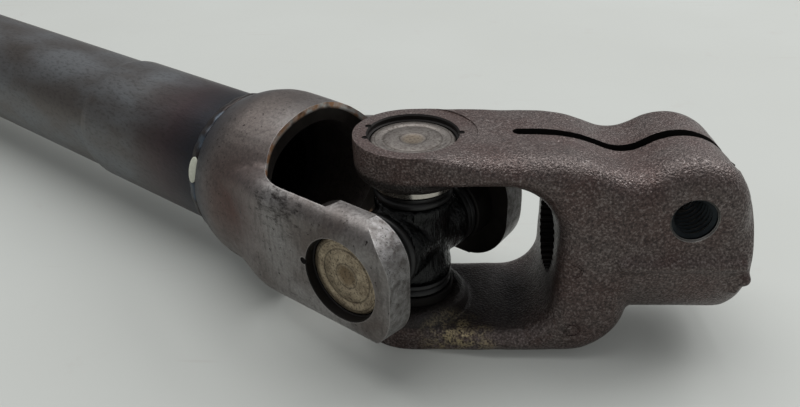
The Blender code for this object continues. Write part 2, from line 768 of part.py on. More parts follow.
def make_materials():
    """The finish of each kind of piece."""
    return {
        "forging": make_material("forged_steel", (0.085, 0.070, 0.065), 0.62, 0.75),
        "pressing": make_material("pressed_steel", (0.16, 0.15, 0.145), 0.42, 0.85),
        "tube": make_material("oiled_tube_steel", (0.075, 0.070, 0.070), 0.40, 0.80),
        "weld": make_material("weld_steel", (0.070, 0.065, 0.075), 0.50, 0.80),
        "cup": make_material("bearing_steel", (0.30, 0.26, 0.21), 0.35, 0.90),
        "cross": make_material("greased_steel", (0.012, 0.012, 0.012), 0.25, 0.60),
        "seal": make_material("black_rubber", (0.010, 0.010, 0.010), 0.60, 0.0),
        "spline": make_material("turned_steel", (0.22, 0.21, 0.20), 0.35, 0.95),
        "sleeve": make_material("nylon", (0.55, 0.52, 0.44), 0.50, 0.0),
    }


def build_joint(prefix, fork_frame, cross_frame, shaft_frame, meshes, materials):
    """One universal joint's clamp yoke, cross and eight bearing pieces."""
    make_clamp_yoke(prefix + "_clamp_yoke", fork_frame, materials["forging"])
    make_cross(prefix + "_cross", cross_frame, materials["cross"])
    upright = (("top", (0, 0, 0)), ("bottom", (math.pi, 0, 0)))
    level = (("rear", (-math.pi / 2, 0, 0)), ("front", (math.pi / 2, 0, 0)))
    for side, rotation in upright:
        place_bearing(prefix, side, fork_frame, rotation, meshes, materials)
    for side, rotation in level:
        place_bearing(prefix, side, shaft_frame, rotation, meshes, materials)


def main():
    clear_scene()
    materials = make_materials()
    meshes = {"cup": cup_mesh(), "seal": seal_mesh()}

    half = JOINT_DISTANCE / 2
    near = Vector((half * math.cos(BEND), -half * math.sin(BEND), JOINT_HEIGHT))
    far = Vector((-near.x, -near.y, JOINT_HEIGHT))

    near_fork = make_frame("near_fork_axis", near, 0.0)
    near_cross = make_frame("near_cross_axis", near, -BEND)
    near_shaft = make_frame("near_shaft_axis", near, -BEND)
    far_fork = make_frame("far_fork_axis", far, math.pi)
    far_cross = make_frame("far_cross_axis", far, -BEND)
    far_shaft = make_frame("far_shaft_axis", far, -BEND)
    build_joint("near", near_fork, near_cross, near_shaft, meshes, materials)
    build_joint("far", far_fork, far_cross, far_shaft, meshes, materials)

    from_near = make_frame("stations_from_near_joint", near, math.pi - BEND)
    from_far = make_frame("stations_from_far_joint", far, -BEND)
    make_shaft_yoke("near_shaft_yoke", from_near, materials["pressing"], TUBE_RADIUS)
    make_shaft_yoke("far_shaft_yoke", from_far, materials["pressing"], INNER_SHAFT_RADIUS)
    make_weld_bead("near_weld_bead", from_near, materials["weld"], TUBE_RADIUS)
    make_weld_bead("far_weld_bead", from_far, materials["weld"], INNER_SHAFT_RADIUS)
    make_outer_tube("outer_tube", from_near, materials["tube"])
    make_inner_shaft("inner_shaft", from_near, materials["spline"])
    make_slide_sleeve("slide_sleeve", from_near, materials["sleeve"])
    make_dust_seal("dust_seal", from_near, materials["seal"])


main()
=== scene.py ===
# %% [markdown]
# This lesson dresses an intermediate steering shaft: two universal joints at the ends of a tube, and a
# splined shaft that slides in that tube. The measured solids come first, as a fixed frame, and each new
# piece takes its place from the same numbers, so nothing has to be fitted by eye.

# %% Load the measured frame
import math

import json

import bmesh
import bpy
from mathutils import Matrix, Vector


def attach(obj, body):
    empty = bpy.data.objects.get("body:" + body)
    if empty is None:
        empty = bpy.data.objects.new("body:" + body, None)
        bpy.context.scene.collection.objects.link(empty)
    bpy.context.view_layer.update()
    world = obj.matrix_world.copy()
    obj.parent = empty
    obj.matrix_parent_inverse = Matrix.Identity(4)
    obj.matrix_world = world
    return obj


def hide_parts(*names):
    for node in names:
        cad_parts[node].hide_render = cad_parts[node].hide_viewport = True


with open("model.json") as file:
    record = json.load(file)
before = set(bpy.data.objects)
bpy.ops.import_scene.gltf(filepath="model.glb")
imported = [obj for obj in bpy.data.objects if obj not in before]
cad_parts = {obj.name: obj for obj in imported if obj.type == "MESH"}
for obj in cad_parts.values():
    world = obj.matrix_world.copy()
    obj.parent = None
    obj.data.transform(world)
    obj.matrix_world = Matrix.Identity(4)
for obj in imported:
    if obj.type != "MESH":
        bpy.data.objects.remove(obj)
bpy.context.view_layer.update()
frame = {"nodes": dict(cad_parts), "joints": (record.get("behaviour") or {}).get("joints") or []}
scene = bpy.context.scene
nodes = frame["nodes"]

# %% [markdown]
# The pieces are modelled in millimetres round a joint's centre, where their numbers are easy to read.
# One step then shrinks a piece to metres, turns it about the vertical and carries it to its joint.
# A fork's own X runs along its bore. A shaft yoke's own X runs along the shaft, away from its joint.

# %% Name the four places that pieces are built for
MM = 0.001
pivots = {joint["name"]: joint for joint in frame["joints"]}
NEAR = Vector(pivots["near_cross_hinge"]["pos_m"])
FAR = Vector(pivots["far_cross_hinge"]["pos_m"])
level_axis = pivots["near_cross_hinge"]["axis"]
BEND = math.atan2(level_axis[0], level_axis[1])
PLACES = {
    "near_fork": (NEAR, 0.0),
    "far_fork": (FAR, math.pi),
    "near_shaft": (NEAR, math.pi - BEND),
    "far_shaft": (FAR, -BEND),
    "near_cross": (NEAR, -BEND),
    "far_cross": (FAR, -BEND),
}
print("shaft turned by", round(math.degrees(BEND), 1), "degrees")

# %% [markdown]
# A handful of small tools follow. Each one is what a modeller does by hand, written down once: pick a
# piece, add a primitive, apply a modifier, cut one piece with another, and carry it to its place.

# %% Pick, modify, place and report a piece


def only(*pieces):
    """Select these pieces alone, with the first one active."""
    bpy.ops.object.select_all(action="DESELECT")
    for piece in pieces:
        piece.select_set(True)
    bpy.context.view_layer.objects.active = pieces[0]


def fresh(primitive, **settings):
    """Add a primitive while nothing else is selected."""
    bpy.ops.object.select_all(action="DESELECT")
    primitive(**settings)
    return bpy.context.object


def apply_modifier(piece, kind, **settings):
    """Add a modifier, set it and apply it to the mesh."""
    only(piece)
    modifier = piece.modifiers.new(kind, kind)
    for name, value in settings.items():
        setattr(modifier, name, value)
    bpy.ops.object.modifier_apply(modifier=modifier.name)


def cut(piece, tool):
    """Cut a tool out of a piece. The faces that it leaves have the tool's finish."""
    apply_modifier(
        piece, "BOOLEAN", object=tool, operation="DIFFERENCE", solver="MANIFOLD", material_mode="TRANSFER"
    )
    bpy.data.objects.remove(tool)


def joined(first, *others):
    """Lay several bodies in the first one's mesh."""
    only(first, *others)
    bpy.ops.object.join()


def copied(piece, name):
    """A copy with a mesh of its own."""
    only(piece)
    bpy.ops.object.duplicate()
    twin = bpy.context.object
    twin.name = name
    return twin


def coated(piece, material):
    """Give a piece one finish all over."""
    piece.data.materials.clear()
    piece.data.materials.append(material)
    return piece


def turned_to(piece, axis, degrees):
    """Turn a piece about one of its own axes and apply it."""
    only(piece)
    piece.rotation_euler["XYZ".index(axis)] = math.radians(degrees)
    bpy.ops.object.transform_apply()
    return piece


def mount(piece, place, body, slot, *stands_for):
    """Shrink a piece to metres, carry it to its place, and let it ride on a body instead of some solids."""
    only(piece)
    spot, turn = PLACES[place]
    piece.scale = (MM, MM, MM)
    piece.rotation_euler = (0.0, 0.0, turn)
    piece.location = spot
    bpy.ops.object.transform_apply()
    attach(piece, body)
    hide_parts(*stands_for)
    low, high = [Vector(corner) for corner in (piece.bound_box[0], piece.bound_box[6])]
    size = [round(value / MM, 1) for value in high - low]
    print(piece.name, size, "mm,", len(piece.data.polygons), "faces, on", body)


# %% [markdown]
# Almost every part of a joint is round, so most pieces start as a profile that is spun about an axis.
# The profile is a circle primitive whose points are moved onto the wanted outline. A solid body starts
# and ends on the axis. A ring closes on itself.

# %% Spin a profile, and skin a row of sections


def arc(center, radius, start, end, steps):
    """Points on an arc, from one angle in degrees to another."""
    points = []
    for step in range(steps + 1):
        angle = math.radians(start + (end - start) * step / steps)
        points.append((center[0] + radius * math.cos(angle), center[1] + radius * math.sin(angle)))
    return points


def traced(name, points, fill="NOTHING"):
    """A circle primitive whose points are moved onto an outline."""
    piece = fresh(bpy.ops.mesh.primitive_circle_add, vertices=len(points), fill_type=fill)
    piece.name = name
    for vertex, point in zip(piece.data.vertices, points):
        vertex.co = point
    return piece


def spun(name, profile, steps=64, ring=False):
    """Spin a profile of (radius, height) points about Z."""
    piece = traced(name, [(radius, 0.0, height) for radius, height in profile])
    bpy.ops.object.mode_set(mode="EDIT")
    if not ring:
        bpy.ops.mesh.select_mode(type="EDGE")
        mesh = bmesh.from_edit_mesh(piece.data)
        for edge in mesh.edges:
            edge.select = {vert.index for vert in edge.verts} == {0, len(profile) - 1}
        bmesh.update_edit_mesh(piece.data)
        bpy.ops.mesh.delete(type="EDGE")
    bpy.ops.mesh.select_mode(type="VERT")
    bpy.ops.mesh.select_all(action="SELECT")
    bpy.ops.mesh.spin(steps=steps, angle=math.tau, axis=(0, 0, 1))
    bpy.ops.mesh.select_all(action="SELECT")
    bpy.ops.mesh.remove_doubles(threshold=0.0005)
    bpy.ops.mesh.normals_make_consistent()
    bpy.ops.object.mode_set(mode="OBJECT")
    return piece


def skinned(name, rings):
    """Extrude a filled outline from section to section. All sections have equally many points."""
    piece = traced(name, rings[0], fill="NGON")
    bpy.ops.object.mode_set(mode="EDIT")
    bpy.ops.mesh.select_all(action="SELECT")
    for last, ring in zip(rings, rings[1:]):
        bpy.ops.mesh.extrude_region_move()
        mesh = bmesh.from_edit_mesh(piece.data)
        spots = [Vector(point) for point in last]
        for vert in mesh.verts:
            if vert.select:
                nearest = min(range(len(spots)), key=lambda index: (spots[index] - vert.co).length_squared)
                vert.co = ring[nearest]
        bmesh.update_edit_mesh(piece.data)
    bpy.ops.mesh.select_all(action="SELECT")
    bpy.ops.mesh.normals_make_consistent()
    bpy.ops.object.mode_set(mode="OBJECT")
    return piece


def smooth_below(piece, degrees):
    """Shade smooth, and keep edges that turn by more than this sharp."""
    only(piece)
    bpy.ops.object.shade_smooth_by_angle(angle=math.radians(degrees))


def forge(piece, grain, rounds):
    """Weld overlapping bodies into one skin, and round its edges and corners as a die does."""
    apply_modifier(piece, "REMESH", mode="VOXEL", voxel_size=grain, use_smooth_shade=True)
    if rounds:
        apply_modifier(piece, "SMOOTH", factor=0.5, iterations=rounds)


# %% [markdown]
# Colours are written as the hex values a paint chart gives, in sRGB, and one function turns them to the
# linear values that a shader works with. A second one adds a shader node with its options and links. A
# third sets the shader's own sockets.

# %% Read colours, add shader nodes and feed a shader


def linear(code):
    """A hex colour as linear red, green, blue and alpha."""
    values = []
    for start in (1, 3, 5):
        value = int(code[start:start + 2], 16) / 255
        values.append(value / 12.92 if value <= 0.04045 else ((value + 0.055) / 1.055) ** 2.4)
    return (*values, 1.0)


def add_node(tree, kind, values=None, links=None, **options):
    """Add a node, set its options and input values, and link what feeds it."""
    node = tree.nodes.new("ShaderNode" + kind)
    for name, value in options.items():
        setattr(node, name, value)
    for socket, value in (values or {}).items():
        node.inputs[socket].default_value = value
    for socket, source in (links or {}).items():
        tree.links.new(source, node.inputs[socket])
    return node


def new_material(name):
    """A material with its shader and the piece's own coordinates."""
    material = bpy.data.materials.new(name)
    material.use_nodes = True
    tree = material.node_tree
    shader = tree.nodes["Principled BSDF"]
    place = add_node(tree, "TexCoord").outputs["Object"]
    return material, tree, shader, place


def feed(shader, sockets):
    """Set a shader's sockets: a number directly, and another node's output by a link."""
    for name, value in sockets.items():
        if isinstance(value, bpy.types.NodeSocket):
            shader.id_data.links.new(value, shader.inputs[name])
        else:
            shader.inputs[name].default_value = value


# %% [markdown]
# Old steel is one colour with many stains over it. So a finish is written as a base colour and a list of
# stains, each with the pattern that says where it lies. Some stains lie only where several patterns meet,
# and a few plain finishes have just two tones that one noise mixes.

# %% Lay stains over a base colour


def stained(tree, base, *stains):
    """Lay stains over a base colour, and return the tone.

    A stain is a colour, a pattern, the pattern's values where it starts and is full, and a strength.
    """
    tone = None
    for code, pattern, start, full, strength in stains:
        share = add_node(
            tree, "MapRange", {"From Min": start, "From Max": full, "To Max": strength}, {"Value": pattern}
        )
        links = {0: share.outputs[0]}
        if tone is not None:
            links[6] = tone
        tone = add_node(tree, "Mix", {6: linear(base), 7: linear(code)}, links, data_type="RGBA").outputs[2]
    return tone


def overlap(tree, *masks):
    """Where masks meet. A mask is a pattern with its values where the mask starts and is full."""
    meet = None
    for pattern, start, full in masks:
        share = add_node(tree, "MapRange", {"From Min": start, "From Max": full}, {"Value": pattern})
        if meet is not None:
            share = add_node(tree, "Math", links={0: meet, 1: share.outputs[0]}, operation="MULTIPLY")
        meet = share.outputs[0]
    return meet


def plain_finish(name, size, detail, tones, metallic, roughness, start=0.0, full=1.0):
    """A finish of two tones, mixed by one noise whose blotches are about this many millimetres wide."""
    material, tree, shader, place = new_material(name)
    noise = add_node(tree, "TexNoise", {"Scale": 1 / (size * MM), "Detail": detail}, {"Vector": place})
    tone = stained(tree, tones[0], (tones[1], noise.outputs["Fac"], start, full, 1.0))
    feed(shader, {"Base Color": tone, "Metallic": metallic, "Roughness": roughness})
    print("made", name)
    return material


# %% [markdown]
# The clamp yokes are drop-forged steel, shot-blasted to clean off the scale. The blast leaves a skin of
# tiny dents, about 0.4 mm across, that sparkles where an edge turns to the light. Years of use have
# browned it. The throat is painted near black, partly for grease from the joint and partly as painted
# shade. A golden rust marks the lower arm, painted light enough to stand for the highlight there too.

# %% Make the blasted forging skin
blasted, tree, shader, place = new_material("shot_blasted_forging")
patches, stains, grit = [
    add_node(
        tree, "TexNoise", {"Scale": 1 / (size * MM), "Detail": detail, "Roughness": rough}, {"Vector": place}
    ).outputs["Fac"]
    for size, detail, rough in ((9, 3.0, 0.5), (2.6, 5.0, 0.7), (0.42, 3.0, 0.6))
]
dents = add_node(tree, "TexVoronoi", {"Scale": 1 / (0.38 * MM)}, {"Vector": place}).outputs["Distance"]
# Golden rust on the lower arm's fillet, made light enough to stand for a painted highlight there as well.
RUST_HIGHLIGHT_SPOT = NEAR + Vector((0.0085, -0.0140, -0.0180))
from_near, from_far, from_rust_highlight = [
    add_node(tree, "VectorMath", {1: spot}, {0: place}, operation="DISTANCE").outputs["Value"]
    for spot in (NEAR, FAR, RUST_HIGHLIGHT_SPOT)
]
gap = add_node(tree, "Math", links={0: from_near, 1: from_far}, operation="MINIMUM").outputs[0]
level = add_node(tree, "SeparateXYZ", links={0: place}).outputs["Z"]
rise = add_node(tree, "Math", {1: NEAR.z}, {0: level}, operation="SUBTRACT").outputs[0]
rise = add_node(tree, "Math", links={0: rise}, operation="ABSOLUTE").outputs[0]
# Inside the throat near each joint the skin is painted near black: partly grease, partly painted shade.
grease_and_throat_shade = overlap(tree, (rise, 0.0164, 0.0156), (gap, 0.031, 0.026))
rust_and_highlight = overlap(tree, (from_rust_highlight, 0.0085, 0.0035), (stains, 0.42, 0.58), (grit, 0.40, 0.56))
tone = stained(
    tree, "#4f3c37",
    ("#574b47", patches, 0.40, 0.60, 1.0),
    ("#44302a", stains, 0.54, 0.70, 1.0),
    ("#9c9491", grit, 0.54, 0.70, 0.50),
    ("#1f1514", grit, 0.52, 0.36, 0.80),
    ("#120e0c", grease_and_throat_shade, 0.0, 1.0, 0.85),
    ("#a59672", rust_and_highlight, 0.0, 1.0, 1.0),
)
gloss = add_node(
    tree, "MapRange", {"From Min": 0.3, "From Max": 0.7, "To Min": 0.54, "To Max": 0.26}, {"Value": grit}
)
relief = add_node(tree, "Math", links={0: dents, 1: grit}, operation="ADD")
bump = add_node(tree, "Bump", {"Strength": 0.9, "Distance": 0.00012}, {"Height": relief.outputs[0]})
feed(shader, {
    "Base Color": tone, "Metallic": 0.45, "Roughness": gloss.outputs[0], "Specular IOR Level": 0.7,
    "Normal": bump.outputs[0],
})
print("made", blasted.name)

# %% [markdown]
# Where a cutter has been over the forging, at the hub's end and the bolt's seats, the steel is lighter and
# its grain is finer. The flats round the cups were milled too, but they have stained as brown as the skin,
# so they keep its finish. A crisp edge is painted bright, partly as wear and partly as a painted highlight.
# A Bevel node finds it: near an edge its rounded normal leans away from the surface's own. Holes, notches
# and the saw cut are painted near black inside as painted shade.

# %% Make the machined steel


def wear_and_highlight_edge(tree, radius):
    """How far a rounded normal agrees with the surface's own: less than one near an edge."""
    own = add_node(tree, "NewGeometry").outputs["Normal"]
    rounded = add_node(tree, "Bevel", {"Radius": radius * MM}).outputs[0]
    return add_node(tree, "VectorMath", links={0: rounded, 1: own}, operation="DOT_PRODUCT").outputs["Value"]


machined, tree, shader, place = new_material("milled_steel")
grain, cloud = [
    add_node(
        tree, "TexNoise", {"Scale": 1 / (size * MM), "Detail": 3.0, "Roughness": rough}, {"Vector": place}
    ).outputs["Fac"]
    for size, rough in ((0.3, 0.7), (3, 0.5))
]
tone = stained(
    tree, "#55524f",
    ("#74716e", cloud, 0.0, 1.0, 1.0),
    ("#3d3835", grain, 0.48, 0.30, 1.0),
    # Crisp edges are painted bright: partly wear, partly a painted highlight.
    ("#bdbab5", wear_and_highlight_edge(tree, 0.35), 0.985, 0.90, 1.0),
)
bump = add_node(tree, "Bump", {"Strength": 0.5, "Distance": 0.00008}, {"Height": grain})
feed(shader, {"Base Color": tone, "Metallic": 0.85, "Roughness": 0.48, "Normal": bump.outputs[0]})
print("made", machined.name)
# Walls inside holes, notches, the bore and the saw cut are painted near black as painted shade.
sawn_in_shade = plain_finish("sawn_steel_painted_shade", 0.6, 4.0, ("#0c0908", "#221e1c"), 0.6, 0.6)
# The thread's flanks are painted dark as painted shade.
tapped = plain_finish("tapped_steel_painted_shade", 0.6, 4.0, ("#14171a", "#2d3235"), 0.9, 0.35)

# %% [markdown]
# The shaft yokes are pressed from thick strip: a satin grey with a fine grain, oily specks and black
# smears. One ear is darker in a band just below its top edge. Welding heat has crept up the collar and
# left it brown, then purple and blue. A Mapping node lays the shaft's own frame over the piece, so that
# these follow the distance from the nearer joint. The grain is drawn at half a millimetre, coarser than the
# real one, so that it shows.

# %% Make the pressed steel


def shaft_frame(tree, place):
    """Places in the shaft's own frame, and the distance along it from the near joint."""
    along = add_node(
        tree, "Mapping", {"Location": NEAR, "Rotation": (0, 0, math.pi - BEND)}, {"Vector": place},
        vector_type="TEXTURE",
    ).outputs[0]
    return along, add_node(tree, "SeparateXYZ", links={0: along}).outputs["X"]


pressed, tree, shader, place = new_material("pressed_strip_steel")
along, station = shaft_frame(tree, place)
drawn_out, hung = [
    add_node(tree, "Mapping", {"Scale": stretch}, {"Vector": along}).outputs[0]
    for stretch in ((0.6, 1.0, 1.4), (1.0, 1.0, 0.25))
]
patches, smears, specks, grain, brushed = [
    add_node(
        tree, "TexNoise", {"Scale": 1 / (size * MM), "Detail": detail, "Roughness": rough},
        {"Vector": vector},
    ).outputs["Fac"]
    for vector, size, detail, rough in (
        (place, 11, 4.0, 0.5), (drawn_out, 1.9, 7.0, 0.78), (place, 0.9, 3.0, 0.6),
        (place, 0.5, 3.0, 0.7), (hung, 0.8, 4.0, 0.5),
    )
]
back = add_node(tree, "Math", {0: (NEAR - FAR).length}, {1: station}, operation="SUBTRACT").outputs[0]
from_joint = add_node(tree, "Math", links={0: station, 1: back}, operation="MINIMUM").outputs[0]
neck = add_node(tree, "Math", {1: 0.010}, {0: patches, 2: from_joint}, operation="MULTIPLY_ADD").outputs[0]
from_warm, from_ear_top_band = [
    add_node(tree, "VectorMath", {1: spot}, {0: along}, operation="DISTANCE").outputs["Value"]
    for spot in ((0.030, 0.019, 0.004), (0.015, 0.0215, 0.0105))
]
# Just below one ear's top edge, the black smears are made darker and wider.
darker_by_ear_top = add_node(
    tree, "MapRange", {"From Min": 0.009, "From Max": 0.001, "To Max": 0.15}, {"Value": from_ear_top_band}
)
smears_and_ear_top_band = add_node(tree, "Math", links={0: smears, 1: darker_by_ear_top.outputs[0]}, operation="ADD").outputs[0]
tone = stained(
    tree, "#665e5a",
    ("#908d8b", patches, 0.35, 0.65, 1.0),
    ("#6f6763", from_joint, 0.019, 0.034, 1.0),
    ("#593c36", from_warm, 0.014, 0.002, 0.7),
    ("#3f4148", neck, 0.042, 0.050, 0.8),
    ("#231f1e", smears_and_ear_top_band, 0.58, 0.74, 1.0),
    ("#474240", brushed, 0.50, 0.66, 0.4),
    ("#2b2422", specks, 0.65, 0.71, 1.0),
    ("#2f2a28", grain, 0.65, 0.40, 0.30),
    # Crisp edges are painted bright: partly wear, partly a painted highlight.
    ("#b0aca9", wear_and_highlight_edge(tree, 0.45), 0.985, 0.90, 0.45),
)
gloss = add_node(
    tree, "MapRange", {"From Min": 0.3, "From Max": 0.7, "To Min": 0.36, "To Max": 0.54}, {"Value": smears}
)
bump = add_node(tree, "Bump", {"Strength": 0.4, "Distance": 0.00008}, {"Height": grain})
feed(shader, {
    "Base Color": tone, "Metallic": 0.85, "Roughness": gloss.outputs[0], "Normal": bump.outputs[0],
})
print("made", pressed.name)

# %% [markdown]
# A sheared edge is bright where the punch burnished it and torn where the strip broke. The tips catch
# the light as clean grey steel. The window's wall is painted dark, partly for old grease and partly as
# painted shade, and only its outer rim carries a painted white and copper glint. The rim is found by its
# distance from the shaft's axis.

# %% Make the sheared tips and the window's edge
sheared, tree, shader, place = new_material("sheared_edge_steel")
streaks, grain = [
    add_node(
        tree, "TexNoise", {"Scale": 1 / (size * MM), "Detail": detail, "Roughness": rough}, {"Vector": place}
    ).outputs["Fac"]
    for size, detail, rough in ((1.6, 6.0, 0.75), (0.4, 3.0, 0.7))
]
tone = stained(
    tree, "#a5a3a2",
    ("#66615e", streaks, 0.40, 0.62, 1.0),
    ("#3d3937", grain, 0.46, 0.30, 1.0),
    # Crisp edges are painted bright: partly wear, partly a painted highlight.
    ("#c4c2c0", wear_and_highlight_edge(tree, 0.45), 0.985, 0.90, 0.45),
)
bump = add_node(tree, "Bump", {"Strength": 0.8, "Distance": 0.0003}, {"Height": streaks})
feed(shader, {"Base Color": tone, "Metallic": 0.9, "Roughness": 0.36, "Normal": bump.outputs[0]})

torn, tree, shader, place = new_material("greasy_window_edge_shade_and_glint")
along, station = shaft_frame(tree, place)
blotch, patch = [
    add_node(
        tree, "TexNoise", {"Scale": 1 / (size * MM), "Detail": detail}, {"Vector": place}
    ).outputs["Fac"]
    for size, detail in ((2.4, 4.0), (5, 2.0))
]
across = add_node(tree, "VectorMath", {1: (0.0, 1.0, 1.0)}, {0: along}, operation="MULTIPLY").outputs[0]
across = add_node(tree, "VectorMath", links={0: across}, operation="LENGTH").outputs["Value"]
# The outer rim of the window's wall carries a white and copper painted highlight.
rim = overlap(tree, (station, 0.013, 0.019), (across, 0.0184, 0.0190), (patch, 0.42, 0.52))
# The wall itself is painted dark: partly old grease, partly painted shade.
grease_and_wall_shade = stained(tree, "#1b1817", ("#3b3632", blotch, 0.0, 1.0, 1.0))
painted_glint = stained(tree, "#f0eeea", ("#d8a680", blotch, 0.38, 0.58, 1.0))
tone = add_node(tree, "Mix", links={0: rim, 6: grease_and_wall_shade, 7: painted_glint}, data_type="RGBA").outputs[2]
feed(shader, {"Base Color": tone, "Metallic": 0.8, "Roughness": 0.45})
print("made", sheared.name, "and", torn.name)

# %% [markdown]
# The tube is drawn steel with an oily, almost black skin, mottled along its length. Beside the weld the
# heat has left the oxide colours that steel takes between 250 and 320 degrees: straw, purple and blue.

# %% Make the tube, weld and spline steels
drawn, tree, shader, place = new_material("oiled_drawn_steel")
along, station = shaft_frame(tree, place)
stretched = add_node(tree, "Mapping", {"Scale": (0.4, 1.0, 1.0)}, {"Vector": along}).outputs[0]
mottle, grain = [
    add_node(
        tree, "TexNoise", {"Scale": 1 / (size * MM), "Detail": 3.0}, {"Vector": stretched}
    ).outputs["Fac"]
    for size in (9, 0.6)
]
wander = add_node(tree, "Math", {1: 0.008}, {0: mottle, 2: station}, operation="MULTIPLY_ADD").outputs[0]
tone = stained(
    tree, "#544e4a",
    ("#6c6e70", mottle, 0.35, 0.65, 1.0),
    ("#413537", wander, 0.080, 0.062, 1.0),
    ("#2c2c31", wander, 0.064, 0.055, 1.0),
    ("#2d2927", grain, 0.50, 0.34, 0.35),
)
gloss = add_node(
    tree, "MapRange", {"From Min": 0.3, "From Max": 0.7, "To Min": 0.36, "To Max": 0.50}, {"Value": mottle}
)
bump = add_node(tree, "Bump", {"Strength": 0.5, "Distance": 0.0001}, {"Height": grain})
feed(shader, {
    "Base Color": tone, "Metallic": 0.85, "Roughness": gloss.outputs[0], "Normal": bump.outputs[0],
})
print("made", drawn.name)
welded = plain_finish("heat_tinted_weld", 5, 3.0, ("#342f2e", "#4b545e"), 0.85, 0.42, 0.52, 0.64)
splined = plain_finish("rolled_spline_steel", 1.5, 4.0, ("#77726b", "#96928b"), 0.95, 0.34)

# %% [markdown]
# The bearing cups are drawn from thin steel and hardened. They have tarnished to a warm grey, and the
# level pair, which catches more dirt, to tan. The cross carries a coat of black grease, which is what
# the eye sees of it: almost no colour, and sharp little highlights.

# %% Make the cup, grease, rubber, nylon and paint finishes
GROOVES = ((2.5, 0.22), (5.45, 0.25), (7.15, 0.16))
cup_tones = {}
for name, low, high, middle in (
    ("tarnished_cup_steel", "#6e6864", "#847f7a", "#827564"),
    ("tanned_cup_steel", "#7f715e", "#b3a58d", "#6a573f"),
):
    cup_tones[name], tree, shader, place = new_material(name)
    bloom, pits = [
        add_node(
            tree, "TexNoise", {"Scale": 1 / (size * MM), "Detail": detail, "Roughness": 0.7},
            {"Vector": place},
        ).outputs["Fac"]
        for size, detail in ((1.6, 5.0), (0.45, 3.0))
    ]
    reach = add_node(tree, "Attribute", attribute_name="reach").outputs["Fac"]
    marks = [
        (high, bloom, 0.35, 0.65, 1.0),
        (middle, reach, 2.5, 1.5, 0.75),
        ("#3a3128", pits, 0.50, 0.34, 0.8),
    ]
    for groove, width in GROOVES:
        off = add_node(tree, "Math", {1: groove}, {0: reach}, operation="SUBTRACT").outputs[0]
        off = add_node(tree, "Math", links={0: off}, operation="ABSOLUTE").outputs[0]
        marks.append(("#2e2620", off, width, 0.04, 0.55))
    tone = stained(tree, low, *marks)
    bump = add_node(tree, "Bump", {"Strength": 0.5, "Distance": 0.00008}, {"Height": pits})
    feed(shader, {"Base Color": tone, "Metallic": 0.8, "Roughness": 0.5, "Normal": bump.outputs[0]})
# Ground steel for the cups' walls; the same bright finish is laid on the bolt thread's crests as a painted
# highlight.
ground_and_crest_highlight = plain_finish("ground_steel_and_crest_highlight", 1.2, 4.0, ("#a39d94", "#cfcac2"), 0.95, 0.24)

greased, tree, shader, place = new_material("greased_steel")
hung = add_node(tree, "Mapping", {"Scale": (1.0, 1.0, 0.3)}, {"Vector": place}).outputs[0]
smear = add_node(
    tree, "TexNoise", {"Scale": 1 / (1.3 * MM), "Detail": 4.0, "Roughness": 0.6}, {"Vector": hung}
).outputs["Fac"]
tone = stained(tree, "#020303", ("#080a0b", smear, 0.0, 1.0, 1.0))
bump = add_node(tree, "Bump", {"Strength": 0.8, "Distance": 0.0009}, {"Height": smear})
feed(shader, {
    "Base Color": tone, "Roughness": 0.14, "Specular IOR Level": 0.3, "Normal": bump.outputs[0],
})

rubber = plain_finish("black_nitrile_rubber", 2.5, 5.0, ("#0a0a0b", "#1b1a1a"), 0.0, 0.42)
nylon = plain_finish("moulded_nylon", 3, 3.0, ("#b9b3a2", "#cfcabb"), 0.0, 0.45)
paint = plain_finish("inspection_paint", 0.8, 3.0, ("#a9ab98", "#cfd0c2"), 0.0, 0.5)
print("made", len(bpy.data.materials), "materials so far")

# %% [markdown]
# The clamp yoke is the piece that the eye goes to. A forging has no sharp edges: the dies leave it with
# rounded rims and filleted corners. So its rough bodies are laid over one another, welded into one skin
# by a voxel remesh, and smoothed. First comes the side view, drawn from arcs that touch: shoulder, dip,
# bolt lug, the long hub and the heel under it.

# %% Draw the clamp yoke's side view
EAR_FACE = 21.3
HALF_WIDTH = 14.2
DIP_HEIGHT = 17.8
HUB_END = 61.8
HEEL_END = 41.0
HEEL_TOP = -4.5
lug, lug_round = (49.0, 9.5), 11.4
dip_round, shoulder_round, heel_round = 8.2, 30.0, 12.0
dip_z = DIP_HEIGHT + dip_round
dip_x = lug[0] - math.sqrt((lug_round + dip_round) ** 2 - (dip_z - lug[1]) ** 2)
shoulder_z = EAR_FACE - shoulder_round
shoulder_x = dip_x - math.sqrt((shoulder_round + dip_round) ** 2 - (dip_z - shoulder_z) ** 2)
leave = math.degrees(math.atan2(dip_z - shoulder_z, dip_x - shoulder_x))
meet = math.degrees(math.atan2(lug[1] - dip_z, lug[0] - dip_x))
side_view = [(10.0, EAR_FACE)]
side_view += arc((shoulder_x, shoulder_z), shoulder_round, 90, leave, 8)
side_view += arc((dip_x, dip_z), dip_round, leave + 180, meet + 360, 8)[1:]
side_view += arc(lug, lug_round, meet + 180, 6, 14)[1:]
side_view += [(HUB_END, 3.0), (HUB_END, HEEL_TOP), (HEEL_END, HEEL_TOP)]
side_view += arc((HEEL_END - heel_round, heel_round - EAR_FACE), heel_round, 0, -90, 10)
side_view += [(10.0, -EAR_FACE)]
print("side view of", len(side_view), "points")

